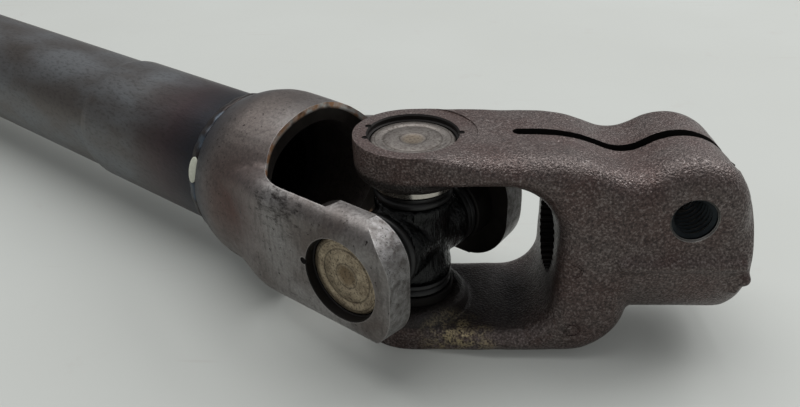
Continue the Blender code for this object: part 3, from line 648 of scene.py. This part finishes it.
# %% Extrude it across the yoke and round its rims
sides = [[(x, y, z) for x, z in side_view] for y in (-HALF_WIDTH, HALF_WIDTH)]
clamp = skinned("near_clamp_forging", sides)
bpy.ops.object.mode_set(mode="EDIT")
bpy.ops.mesh.select_mode(type="EDGE")
mesh = bmesh.from_edit_mesh(clamp.data)
for edge in mesh.edges:
    edge.select = abs(edge.verts[0].co.y - edge.verts[1].co.y) < 0.01
bmesh.update_edit_mesh(clamp.data)
bpy.ops.mesh.bevel(offset=4.8, segments=6, profile=0.5, affect="EDGES")
bpy.ops.object.mode_set(mode="OBJECT")
print("rims rounded,", len(clamp.data.polygons), "faces")

# %% [markdown]
# Towards the ears the arms narrow until they are as wide as the ring round the cup, and their rims get
# tighter. A row of rounded sections does both. The hub is a plain turned body, and a thin web along the
# middle becomes the trace of the flash that the trimming die left.

# %% Add the arms' roots, the hub and the flash line


def rounded_section(x, half_width, half_height, radius, steps=5):
    """A rounded rectangle square to X."""
    points = []
    for turn, side, level in ((0, 1, 1), (90, -1, 1), (180, -1, -1), (270, 1, -1)):
        center = (side * (half_width - radius), level * (half_height - radius))
        points += arc(center, radius, turn, turn + 90, steps)
    return [(x, y, z) for y, z in points]


def block(name, low, high):
    """A box between two corners."""
    middle = [(a + b) / 2 for a, b in zip(low, high)]
    size = [b - a for a, b in zip(low, high)]
    box = fresh(bpy.ops.mesh.primitive_cube_add, size=1, location=middle, scale=size)
    box.name = name
    return box


sections = []
for step in range(10):
    x = 2.0 * step
    rim = 0.9 + 3.9 * min(1.0, max(0.0, (x - 3.0) / 13.0))
    sections.append(rounded_section(x, min(HALF_WIDTH, 11.2 + 0.2 * x), EAR_FACE, rim))
roots = skinned("arm_roots", sections)
hub = [(0, 27.7), (13.4, 27.7), (14.9, HEEL_END), (14.9, 58.8), (14.3, 60.2), (13.0, HUB_END), (0, HUB_END)]
hub = turned_to(spun("hub", hub), "Y", 90)
flash = block("flash_line", (37.0, -15.9, 0.4), (60.0, 15.9, 2.0))
joined(clamp, roots, hub, flash)
forge(clamp, 0.55, 0)
print("one skin of", len(clamp.data.polygons), "faces")

# %% [markdown]
# The throat between the arms is one cut right across. Its outline grows towards the yoke's sides, which
# rounds its edges by four millimetres, as the forging's are. The two ears come after the cut, because
# they stand a little way into the throat.

# %% Cut the throat and add the ears


THROAT_DEPTH = 26.2
THROAT_HALF_HEIGHT = 15.6
BEYOND_EARS = 24.0


def throat_outline(y, flare):
    """The throat's outline at one depth, wider by the flare. Its lower corner is the tighter one."""
    low, high = 7.5, 10.5
    points = [(-BEYOND_EARS, -THROAT_HALF_HEIGHT - flare)]
    points += arc((THROAT_DEPTH - low, low - THROAT_HALF_HEIGHT), low + flare, -90, 0, 9)
    points += arc((THROAT_DEPTH - high, THROAT_HALF_HEIGHT - high), high + flare, 0, 90, 11)
    points += [(-BEYOND_EARS, THROAT_HALF_HEIGHT + flare)]
    return [(x, y, z) for x, z in points]


edge_round = 4.0
flares = []
for step in range(6):
    angle = math.radians(16 * step)
    flares.append((HALF_WIDTH - edge_round * (1 - math.sin(angle)), edge_round * (1 - math.cos(angle))))
flares.append((HALF_WIDTH + 1.0, edge_round + 0.3))
rings = [throat_outline(-y, flare) for y, flare in reversed(flares)]
rings += [throat_outline(y, flare) for y, flare in flares]
cut(clamp, skinned("throat", rings))

EAR_SIDE = 21.9
ear = [(0, EAR_SIDE), (11.3, EAR_SIDE), (11.3, 15.3), (11.0, 14.2), (10.2, 13.4), (9.0, 13.0), (0, 13.0)]
ear = spun("ear", ear)
lower_ear = turned_to(copied(ear, "lower_ear"), "X", 180)
joined(clamp, ear, lower_ear)
for radius, spot in ((1.5, (60.0, -14.3, -2.0)), (1.1, (58.7, -14.2, -4.3))):
    burr = fresh(bpy.ops.mesh.primitive_ico_sphere_add, subdivisions=2, radius=radius, location=spot)
    joined(clamp, burr)
forge(clamp, 0.42, 14)
hammered = bpy.data.textures.new("die_wear", "CLOUDS")
hammered.noise_scale = 7.0
apply_modifier(clamp, "DISPLACE", texture=hammered, texture_coords="LOCAL", strength=0.30, mid_level=0.75)
coated(clamp, blasted)
print("forging of", len(clamp.data.polygons), "faces")

# %% [markdown]
# Now the machine tools. Their cuts come after the smoothing, so that they keep crisp edges against the
# soft forging: a flat round each cup, the cups' holes with a step for staking, the end of the hub, the
# toothed bore, the saw cut and the two seats of the clamp bolt.

# %% Mill the ears and bore the cup holes
CUP_HOLE = 8.12
HUB_LENGTH = 61.0
flat = [(0, 21.15), (12.0, 21.15), (12.0, 25.0), (0, 25.0)]
hole = [(0, 9.0), (CUP_HOLE, 9.0), (CUP_HOLE, 19.9), (8.45, 20.1), (8.45, 20.85), (8.75, 21.2), (8.75, 25.0)]
hole += [(0, 25.0)]
for turn in (0, 180):
    for profile, steps, finish in ((flat, 120, blasted), (hole, 96, sawn_in_shade)):
        cutter = turned_to(spun("ear_cutter", profile, steps), "X", turn)
        cut(clamp, coated(cutter, finish))
cut(clamp, coated(block("end", (HUB_LENGTH, -30, -30), (66.0, 30, 30)), machined))
print("ears milled,", len(clamp.data.polygons), "faces")

# %% Broach the toothed bore


def toothed(x, outer, inner, teeth):
    """One section of a toothed bore or shaft, square to X, with its teeth between two radii."""
    points = []
    for index in range(teeth):
        for share, reach in ((0.0, outer), (0.34, outer), (0.5, inner), (0.84, inner)):
            angle = math.tau * (index + share) / teeth
            points.append((x, reach * math.cos(angle), reach * math.sin(angle)))
    return points


bore = skinned("bore", [toothed(x, 8.5, 7.9, 36) for x in (25.0, 62.5)])
cut(clamp, coated(bore, sawn_in_shade))
mouth = spun("mouth", [(0, 60.2), (8.0, 60.2), (9.6, HUB_END), (0, HUB_END)])
cut(clamp, coated(turned_to(mouth, "Y", 90), machined))
print("bore cut,", len(clamp.data.polygons), "faces")

# %% [markdown]
# The slit is a saw cut with a round end. The bolt's thread is a stack of rings: a helix would look the
# same in so short a hole. Its crests are painted bright as a highlight, and its flanks dark as painted
# shade.

# %% Saw the slit and tap the bolt hole
SLIT_START, SLIT_HALF, SLIT_FLOOR, SLIT_TOP = 19.6, 1.3, 4.0, 24.0
slit = block("slit", (SLIT_START, -SLIT_HALF, SLIT_FLOOR), (62.5, SLIT_HALF, SLIT_TOP))
cut(clamp, coated(slit, sawn_in_shade))
slit_end = [(0, SLIT_FLOOR), (SLIT_HALF, SLIT_FLOOR), (SLIT_HALF, SLIT_TOP), (0, SLIT_TOP)]
slit_end = spun("slit_end", slit_end, 24)
slit_end.location = (SLIT_START, 0, 0)
cut(clamp, coated(slit_end, sawn_in_shade))

BOLT_SPOT = (49.2, 0.0, 10.3)
THREAD_CREST, THREAD_ROOT, THREAD_PITCH, OUTSIDE = 3.3, 4.0, 1.2, 20.0
thread = [(0, 0.5)]
for step in range(11):
    foot = 0.5 + THREAD_PITCH * step
    thread += [(THREAD_CREST, foot), (THREAD_CREST, foot + 0.3)]
    thread += [(THREAD_ROOT, foot + 0.7), (THREAD_ROOT, foot + 0.85)]
thread += [(THREAD_ROOT, OUTSIDE), (0, OUTSIDE)]
lead_in = [(0, 13.6), (3.9, 13.6), (4.4, 14.2), (4.4, OUTSIDE), (0, OUTSIDE)]
plain = [(0, -0.5), (4.2, -0.5), (4.2, OUTSIDE), (0, OUTSIDE)]
spot_face = [(0, 13.95), (8.5, 13.95), (8.5, OUTSIDE), (0, OUTSIDE)]
for profile, turn, finish in (
    (thread, 90, tapped), (lead_in, 90, machined), (plain, -90, sawn_in_shade), (spot_face, -90, machined)
):
    seat = coated(spun("bolt_seat", profile, 64), finish)
    # The thread's crests take the bright ground steel as a painted highlight.
    seat.data.materials.append(ground_and_crest_highlight)
    for face in seat.data.polygons:
        on_crest = math.hypot(face.center.x, face.center.y) < THREAD_CREST + 0.2
        face.material_index = int(finish == tapped and on_crest and abs(face.normal.z) < 0.1)
    turned_to(seat, "X", turn)
    seat.location = BOLT_SPOT
    cut(clamp, seat)
print("bolt hole tapped,", len(clamp.data.polygons), "faces")

# %% [markdown]
# A punch has staked each cup: it leaves little notches in the hole's rim. The forging die has left two
# small rings on the yoke's side, and they are cut in with thin tori.

# %% Stake the cups, and press in the die's two rings
NOTCH_REACH = 8.9


def notch(piece, spot):
    """Punch a staking notch beside a cup."""
    ball = fresh(bpy.ops.mesh.primitive_uv_sphere_add, segments=12, ring_count=8, radius=0.75, location=spot)
    cut(piece, coated(ball, sawn_in_shade))


for side in (1, -1):
    for degrees in (0, 160, 193):
        angle = math.radians(degrees)
        notch(clamp, (NOTCH_REACH * math.cos(angle), NOTCH_REACH * math.sin(angle), side * EAR_FACE))
for spot in ((29.3, -14.15, -0.3), (30.1, -14.15, -13.7)):
    ring = fresh(
        bpy.ops.mesh.primitive_torus_add, major_radius=1.3, minor_radius=0.36, major_segments=24,
        minor_segments=8, location=spot, rotation=(math.pi / 2, 0, 0),
    )
    cut(clamp, coated(ring, blasted))
smooth_below(clamp, 32)
far_clamp = copied(clamp, "far_clamp_forging")
mount(clamp, "near_fork", "near_fork", "forged_steel", "near_clamp_yoke")
mount(far_clamp, "far_fork", "far_fork", "forged_steel", "far_clamp_yoke")

# %% [markdown]
# The shaft yoke is one pressing: a collar round the shaft whose front half is flattened into two ears.
# Its skin is a row of sections. Each one is the larger of a circle and a rounded rectangle, and the
# rectangle fades out along the collar, so the flats run out into the round as they do in the press.

# %% Skin the pressing
EAR_HALF_HEIGHT = 12.8
EAR_CORNER = 4.5
WINDOW_START = 16.5


def ear_reach(angle):
    """How far a rounded rectangle reaches from the axis in one direction."""
    across, up = abs(math.cos(angle)), abs(math.sin(angle))
    corner_y, corner_z = EAR_SIDE - EAR_CORNER, EAR_HALF_HEIGHT - EAR_CORNER
    if up * EAR_SIDE <= across * corner_z:
        return EAR_SIDE / across
    if across * EAR_HALF_HEIGHT <= up * corner_y:
        return EAR_HALF_HEIGHT / up
    toward = across * corner_y + up * corner_z
    return toward + math.sqrt(toward ** 2 - corner_y ** 2 - corner_z ** 2 + EAR_CORNER ** 2)


quarter = [0, 6, 13, 20, 22, 24, 26, 28, 30, 32, 34, 36, 40, 46, 54, 62, 70, 80]
section_angles = []
for start in (0, 180):
    section_angles += [start + turn for turn in quarter] + [start + 90]
    section_angles += [start + 180 - turn for turn in reversed(quarter[1:])]


def yoke_section(station, round_reach, ear_share):
    """A section of the pressing: the larger of the collar's circle and the ears' rectangle."""
    points = []
    for degrees in section_angles:
        angle = math.radians(degrees)
        reach = max(round_reach, ear_reach(angle) * ear_share)
        points.append((station, reach * math.cos(angle), reach * math.sin(angle)))
    return points


def yoke_skin(name, neck):
    """The pressing's outer skin, from the ears' tips to the neck."""
    crown, crown_at, neck_at = 20.0, 36.5, 46.5
    corner = math.hypot(EAR_SIDE - EAR_CORNER, EAR_HALF_HEIGHT - EAR_CORNER) + EAR_CORNER
    rings = [yoke_section(-12.5, 0.0, 1.0), yoke_section(10.0, 12.0, 1.0)]
    for step in range(11):
        share = step / 10
        collar = crown * (0.97 + 0.03 * math.sin(share * math.pi / 2))
        late = max(0.0, (share - 0.15) / 0.85)
        drop = (1 - crown / corner) * (1 - math.cos(late * math.pi)) / 2
        rings.append(yoke_section(WINDOW_START + (crown_at - WINDOW_START) * share, collar, 1 - drop))
    for step in range(1, 10):
        share = step / 9
        fall = (crown - neck) * (1 - math.cos(share * math.pi / 2))
        rings.append(yoke_section(crown_at + (neck_at - crown_at) * share, crown - fall, 0.0))
    return skinned(name, rings)


# %% [markdown]
# The press shears the window between the ears and trims their tips after the skin is formed, so those
# edges are crisp and bright. Inside each ear a round pad stays thicker, for the cup to sit in.

# %% Shear the window, the tips and the cup holes


def window_tool():
    """The U-shaped way between the ears, less the two pads."""
    plan = [(-BEYOND_EARS, -19.1)]
    plan += arc((WINDOW_START, -9.3), 9.8, -90, 0, 14)
    plan += arc((WINDOW_START, 9.3), 9.8, 0, 90, 14)
    plan += [(-BEYOND_EARS, 19.1)]
    tool = skinned("window", [[(x, y, z) for x, y in plan] for z in (-30.0, 30.0)])
    pad_view = arc((0.0, 0.0), 13.4, -76, 76, 30) + [(-26.0, 13.0), (-26.0, -13.0)]
    for inner, outer in ((16.2, 21.0), (-21.0, -16.2)):
        pad = skinned("pad", [[(x, y, z) for x, z in pad_view] for y in (inner, outer)])
        cut(tool, pad)
    return tool


def tip_tool():
    """What lies beyond the tips, squarer inside than outside."""
    rings = []
    for y, radius in ((-24.0, 11.8), (-21.9, 11.4), (-16.2, 10.6), (16.2, 8.8), (21.9, 10.0), (24.0, 10.8)):
        top = arc((radius - 11.7, EAR_HALF_HEIGHT - radius), radius, 100, 180, 12)
        outline = [(-30.0, 26.0), (top[0][0] + 0.3, 26.0)] + top
        outline += [(x, -z) for x, z in reversed(top)]
        outline += [(top[0][0] + 0.3, -26.0), (-30.0, -26.0)]
        rings.append([(x, y, z) for x, z in outline])
    return skinned("tip", rings)


def pressed_yoke(name, shaft_radius):
    """One shaft yoke, round a tube or shaft of this radius."""
    yoke = yoke_skin(name, shaft_radius + 1.5)
    seat = shaft_radius + 0.3
    hollow = [(0, WINDOW_START), (16.0, WINDOW_START), (16.0, 26.0 + seat), (seat, 42.05), (seat, 60.0)]
    hollow += [(0, 60.0)]
    cut(yoke, turned_to(spun("hollow", hollow), "Y", 90))
    forge(yoke, 0.42, 10)
    coated(yoke, pressed)
    cut(yoke, coated(window_tool(), torn))
    cut(yoke, coated(tip_tool(), sheared))
    hole = [(0, 9.0), (CUP_HOLE, 9.0), (CUP_HOLE, 19.8), (8.3, 20.0), (8.3, 21.7), (8.5, 22.0), (8.5, 26.0)]
    hole += [(0, 26.0)]
    for turn, side in ((90, -1), (-90, 1)):
        cut(yoke, coated(turned_to(spun("cup_hole", hole, 96), "X", turn), sawn_in_shade))
        notch(yoke, (NOTCH_REACH, side * EAR_SIDE, 0.8))
    smooth_below(yoke, 32)
    return yoke


TUBE_RADIUS = 15.7
SHAFT_RADIUS = 10.6
near_yoke = pressed_yoke("near_pressed_yoke", TUBE_RADIUS)
mount(near_yoke, "near_shaft", "tube", "pressed_steel", "near_shaft_yoke")
far_yoke = pressed_yoke("far_pressed_yoke", SHAFT_RADIUS)
mount(far_yoke, "far_shaft", "slider", "pressed_steel", "far_shaft_yoke")

# %% [markdown]
# A bearing cup is drawn like a bottle cap, with a dimple and a rolled ring in its face. Fifteen needle
# rollers stand inside it round the trunnion. One cup and one seal are modelled, then copied eight times.

# %% Draw a cup with its needles, and its seal
face = [(0, 19.74), (1.2, 19.76), (2.1, 19.82), (2.45, 19.94), (2.7, 19.97), (5.3, 19.92), (5.6, 19.80)]
face += [(6.05, 19.80), (6.25, 19.96), (6.55, 20.0), (7.4, 20.0), (7.75, 19.9), (8.0, 19.6)]
wall = [(8.0, 11.45), (7.75, 11.2), (7.45, 11.2), (7.45, 18.6), (0, 18.6)]
cup = spun("cup", face + wall, 72)
needle_profile = [(0, 18.4), (0.9, 18.4), (1.15, 18.1), (1.15, 11.9), (0.9, 11.6), (0, 11.6)]
needle = spun("needle", needle_profile, 12)
NEEDLE_COUNT = 15
NEEDLE_REACH = 6.28
needles = []
for index in range(NEEDLE_COUNT):
    angle = math.tau * index / NEEDLE_COUNT
    twin = copied(needle, "needle_copy")
    twin.location = (NEEDLE_REACH * math.cos(angle), NEEDLE_REACH * math.sin(angle), 0)
    needles.append(twin)
bpy.data.objects.remove(needle)
joined(cup, *needles)
smooth_below(cup, 40)
reach = cup.data.attributes.new("reach", "FLOAT", "POINT")
for vert in cup.data.vertices:
    reach.data[vert.index].value = math.hypot(vert.co.x, vert.co.y)
FACE_EDGE = 19.5
walls = [face.index for face in cup.data.polygons if face.center.z < FACE_EDGE]
lip = [(5.3, 8.75), (6.3, 8.6), (7.4, 8.65), (7.65, 9.1), (7.5, 9.7), (7.15, 9.95), (7.45, 10.3)]
lip += [(7.5, 10.85), (5.4, 10.85), (5.7, 10.2), (5.35, 9.6)]
seal = spun("seal", lip, 64, ring=True)
coated(seal, rubber)
smooth_below(seal, 50)
print("cup of", len(cup.data.polygons), "faces, seal of", len(seal.data.polygons))

# %% Press the cups and seals in
for joint, fork_body, shaft_body in (("near", "near_fork", "tube"), ("far", "far_fork", "slider")):
    for side, turn in (("top", 0), ("bottom", 180), ("rear", -90), ("front", 90)):
        upright = side in ("top", "bottom")
        body = fork_body if upright else shaft_body
        place_name = joint + ("_fork" if upright else "_cross")
        twin = turned_to(copied(cup, joint + "_bearing_cup_" + side), "X", turn)
        coated(twin, cup_tones["tarnished_cup_steel" if upright else "tanned_cup_steel"])
        # The top and front cups' walls show the bright ground steel; the rear and bottom cups' walls are
        # painted near black as painted shade.
        twin.data.materials.append(ground_and_crest_highlight if side in ("top", "front") else sawn_in_shade)
        for index in walls:
            twin.data.polygons[index].material_index = 1
        mount(twin, place_name, body, "bearing_steel", joint + "_cup_" + side)
        twin = turned_to(copied(seal, joint + "_lip_seal_" + side), "X", turn)
        mount(twin, place_name, body, "black_rubber", joint + "_seal_" + side)
bpy.data.objects.remove(cup)
bpy.data.objects.remove(seal)

# %% [markdown]
# The cross is forged too: two trunnion pairs that meet in a thick middle. A remesh with a short
# smoothing gives the fillets between them, and the grease does the rest.

# %% Forge the cross
half = [(0, 18.3), (4.7, 18.3), (5.0, 18.0), (5.0, 9.0), (5.5, 8.4), (7.2, 8.3), (7.6, 7.9), (7.6, 6.6)]
half += [(7.1, 4.6), (6.9, 0.0)]
pair = half + [(radius, -height) for radius, height in reversed(half[:-1])]
cross = spun("near_trunnion_cross", pair, 64)
joined(cross, turned_to(copied(cross, "level_pair"), "X", 90))
forge(cross, 0.32, 8)
coated(cross, greased)
far_cross = copied(cross, "far_trunnion_cross")
mount(cross, "near_cross", "near_trunnions", "greased_steel", "near_cross")
mount(far_cross, "far_cross", "far_trunnions", "greased_steel", "far_cross")

# %% [markdown]
# The tube is a long turned profile with its one step. The splined shaft is a toothed section pulled
# along its length, with the teeth running out into a plain end. A ribbed rubber cap closes the mouth.

# %% Draw the tube, the splined shaft and the cap


def turned_part(name, profile, steps, finish, crease):
    """Turn a hollow part about the shaft's axis, and give it its finish."""
    part = turned_to(spun(name, profile, steps, ring=True), "Y", 90)
    smooth_below(coated(part, finish), crease)
    return part


TUBE_START, TUBE_END = 42.0, 198.0
profile = [(15.3, TUBE_START), (TUBE_RADIUS, 42.4), (TUBE_RADIUS, 90.6), (15.6, 91.4), (15.05, 93.6)]
profile += [(14.95, 94.4), (14.95, 197.5), (14.5, TUBE_END), (12.6, TUBE_END), (12.6, TUBE_START)]
tube = turned_part("drawn_tube", profile, 128, drawn, 30)
mount(tube, "near_shaft", "tube", "tube_steel", "outer_tube")

SHAFT_TEETH = 24
stations = (
    (126.0, 9.2, 9.2), (126.6, 9.8, 9.75), (126.9, SHAFT_RADIUS, 9.8), (230.0, SHAFT_RADIUS, 9.8),
    (231.5, SHAFT_RADIUS, 10.3), (233.0, SHAFT_RADIUS, SHAFT_RADIUS), (257.5, SHAFT_RADIUS, SHAFT_RADIUS),
    (258.0, 10.1, 10.1),
)
teeth = [toothed(x, outer, inner, SHAFT_TEETH) for x, outer, inner in stations]
slip_shaft = coated(skinned("splined_slip_shaft", teeth), splined)
smooth_below(slip_shaft, 28)
mount(slip_shaft, "near_shaft", "slider", "turned_steel", "inner_shaft")

RIB = 16.7
VALLEY = 16.2
profile = [(15.25, 188.5), (16.3, 188.5), (RIB, 189.0), (RIB, 190.4), (VALLEY, 190.8), (VALLEY, 191.6)]
profile += [(RIB, 192.0), (RIB, 193.4), (VALLEY, 193.8), (VALLEY, 194.6), (RIB, 195.0), (RIB, 198.6)]
profile += [(VALLEY, 199.6), (12.9, 201.5), (12.2, 201.7), (10.95, 201.7), (10.95, 201.0), (11.6, 200.0)]
profile += [(11.6, 198.35), (15.25, 198.35)]
dust_cap = turned_part("ribbed_dust_cap", profile, 96, rubber, 40)
mount(dust_cap, "near_shaft", "tube", "black_rubber", "dust_seal")
coated(nodes["slide_sleeve"], nylon)

# %% [markdown]
# A weld bead is a chain of frozen ripples. A ring with a rounded back is spun in many steps, and every
# other pair of steps is drawn in a little.

# %% Lay the weld beads and the dab of paint
WELD_STEPS = 112


def weld_bead(name, radius):
    """A rippled bead round a shaft of this radius, beside the collar's neck."""
    profile = [(radius + 0.02, 46.3), (radius + 1.5, 46.3), (radius + 1.55, 47.2), (radius + 1.25, 48.3)]
    profile += [(radius + 0.7, 49.3), (radius + 0.02, 49.9)]
    bead = spun(name, profile, WELD_STEPS, ring=True)
    bpy.ops.object.mode_set(mode="EDIT")
    mesh = bmesh.from_edit_mesh(bead.data)
    for vert in mesh.verts:
        step = round(math.atan2(vert.co.y, vert.co.x) / math.tau * WELD_STEPS)
        vert.select = step % 4 < 2 and math.hypot(vert.co.x, vert.co.y) > radius + 0.1
    mesh.select_flush_mode()
    bmesh.update_edit_mesh(bead.data)
    bpy.ops.transform.resize(value=(0.988, 0.988, 1.0))
    bpy.ops.object.mode_set(mode="OBJECT")
    turned_to(bead, "Y", 90)
    apply_modifier(bead, "SUBSURF", levels=1, render_levels=1)
    coated(bead, welded)
    smooth_below(bead, 60)
    return bead


mount(weld_bead("near_rippled_weld", TUBE_RADIUS), "near_shaft", "tube", "weld_steel", "near_weld_bead")
mount(weld_bead("far_rippled_weld", SHAFT_RADIUS), "far_shaft", "slider", "weld_steel", "far_weld_bead")
dab = fresh(bpy.ops.mesh.primitive_uv_sphere_add, segments=24, ring_count=12, location=(46.9, 16.25, 5.6))
dab.name = "paint_dab"
dab.scale = (1.4, 0.45, 2.9)
turned_to(dab, "X", 19)
coated(dab, paint)
smooth_below(dab, 60)
mount(dab, "near_shaft", "tube", "pressed_steel")

# %% [markdown]
# The part lies on a pale bench, whose colour is clouded and marked with a few faint scuffs and scores.
# The camera and the reflections see the bench a little brighter than the lamps alone make it.

# %% Lay the floor
floor = fresh(bpy.ops.mesh.primitive_plane_add, size=4.0)
floor.name = "bench_top"
bench, tree, shader, place = new_material("pale_bench")
scored = add_node(tree, "Mapping", {"Rotation": (0, 0, 0.3), "Scale": (1.0, 16.0, 1.0)}, {"Vector": place})
cloud, scuffs, lines = [
    add_node(
        tree, "TexNoise", {"Scale": scale, "Detail": detail, "Roughness": rough}, {"Vector": vector}
    ).outputs["Fac"]
    for vector, scale, detail, rough in (
        (place, 9.0, 3.0, 0.5), (place, 60.0, 8.0, 0.7), (scored.outputs[0], 16.0, 4.0, 0.5)
    )
]
tone = stained(
    tree, "#babcb7",
    ("#c4c7c3", cloud, 0.0, 1.0, 1.0),
    ("#b3aea9", scuffs, 0.62, 0.72, 0.25),
    ("#aba49d", lines, 0.66, 0.72, 0.2),
)
feed(shader, {"Base Color": tone, "Roughness": 0.6})
LIFT = 0.12
glow = add_node(tree, "Emission", {"Strength": 0.9}, {"Color": tone})
rays = add_node(tree, "LightPath").outputs
seen = add_node(
    tree, "Math", links={0: rays["Is Camera Ray"], 1: rays["Is Glossy Ray"]}, operation="MAXIMUM"
)
lifted = add_node(tree, "Math", {1: LIFT}, {0: seen.outputs[0]}, operation="MULTIPLY")
blend = add_node(tree, "MixShader", links={0: lifted.outputs[0], 1: shader.outputs[0], 2: glow.outputs[0]})
tree.links.new(blend.outputs[0], tree.nodes["Material Output"].inputs["Surface"])
coated(floor, bench)
print("floor laid")

# %% [markdown]
# Two soft boxes light the part, with a plain grey world to fill in. One hangs above and a little behind,
# and one stands on the right like a window. So the tops and rims shine, and the sides that face the
# camera stay dark, as steel does.

# %% Set the lights
world = bpy.data.worlds.new("studio")
world.use_nodes = True
feed(world.node_tree.nodes["Background"], {"Color": linear("#e6e8ea"), "Strength": 0.36})
scene.world = world


def softbox(name, spot, aim, size, watts):
    """A square area lamp that looks at a point."""
    lamp = bpy.data.lights.new(name, "AREA")
    lamp.size = size
    lamp.energy = watts
    lamp_object = bpy.data.objects.new(name, lamp)
    lamp_object.location = spot
    lamp_object.rotation_euler = (Vector(aim) - Vector(spot)).to_track_quat("-Z", "Y").to_euler()
    scene.collection.objects.link(lamp_object)


MIDDLE = (0.05, 0.0, 0.0)
softbox("overhead_softbox", (-0.08, 0.16, 1.0), MIDDLE, 1.0, 8.0)
softbox("window_softbox", (0.78, 0.34, 0.72), MIDDLE, 0.6, 5.0)
print("lamps set")

# %% [markdown]
# The camera stands where the photographer stood: low over the bench, a hand's breadth from the near
# joint, looking down by thirty degrees and rolled by one.

# %% Set the camera
pan, pitch, roll = math.radians(1.5), math.radians(29.8), math.radians(-0.95)
ahead = Vector((-math.sin(pan), math.cos(pan), 0))
right = Vector((math.cos(pan), math.sin(pan), 0))
up = math.sin(pitch) * ahead + math.cos(pitch) * Vector((0, 0, 1))
look = math.cos(pitch) * ahead - math.sin(pitch) * Vector((0, 0, 1))
rolled_right = math.cos(roll) * right + math.sin(roll) * up
rolled_up = math.cos(roll) * up - math.sin(roll) * right
camera_data = bpy.data.cameras.new("photographer")
camera_data.lens = 34.07
camera_data.sensor_width = 36.0
camera_data.clip_start = 0.005
camera = bpy.data.objects.new("photographer", camera_data)
stand = Matrix((rolled_right, rolled_up, -look)).transposed().to_4x4()
stand.translation = NEAR + Vector((0.00075, -0.1278, 0.07925))
camera.matrix_world = stand
scene.collection.objects.link(camera)
scene.camera = camera
scene.view_settings.view_transform = "Standard"
print("camera", round((camera.location - NEAR).length, 3), "m from the near joint")
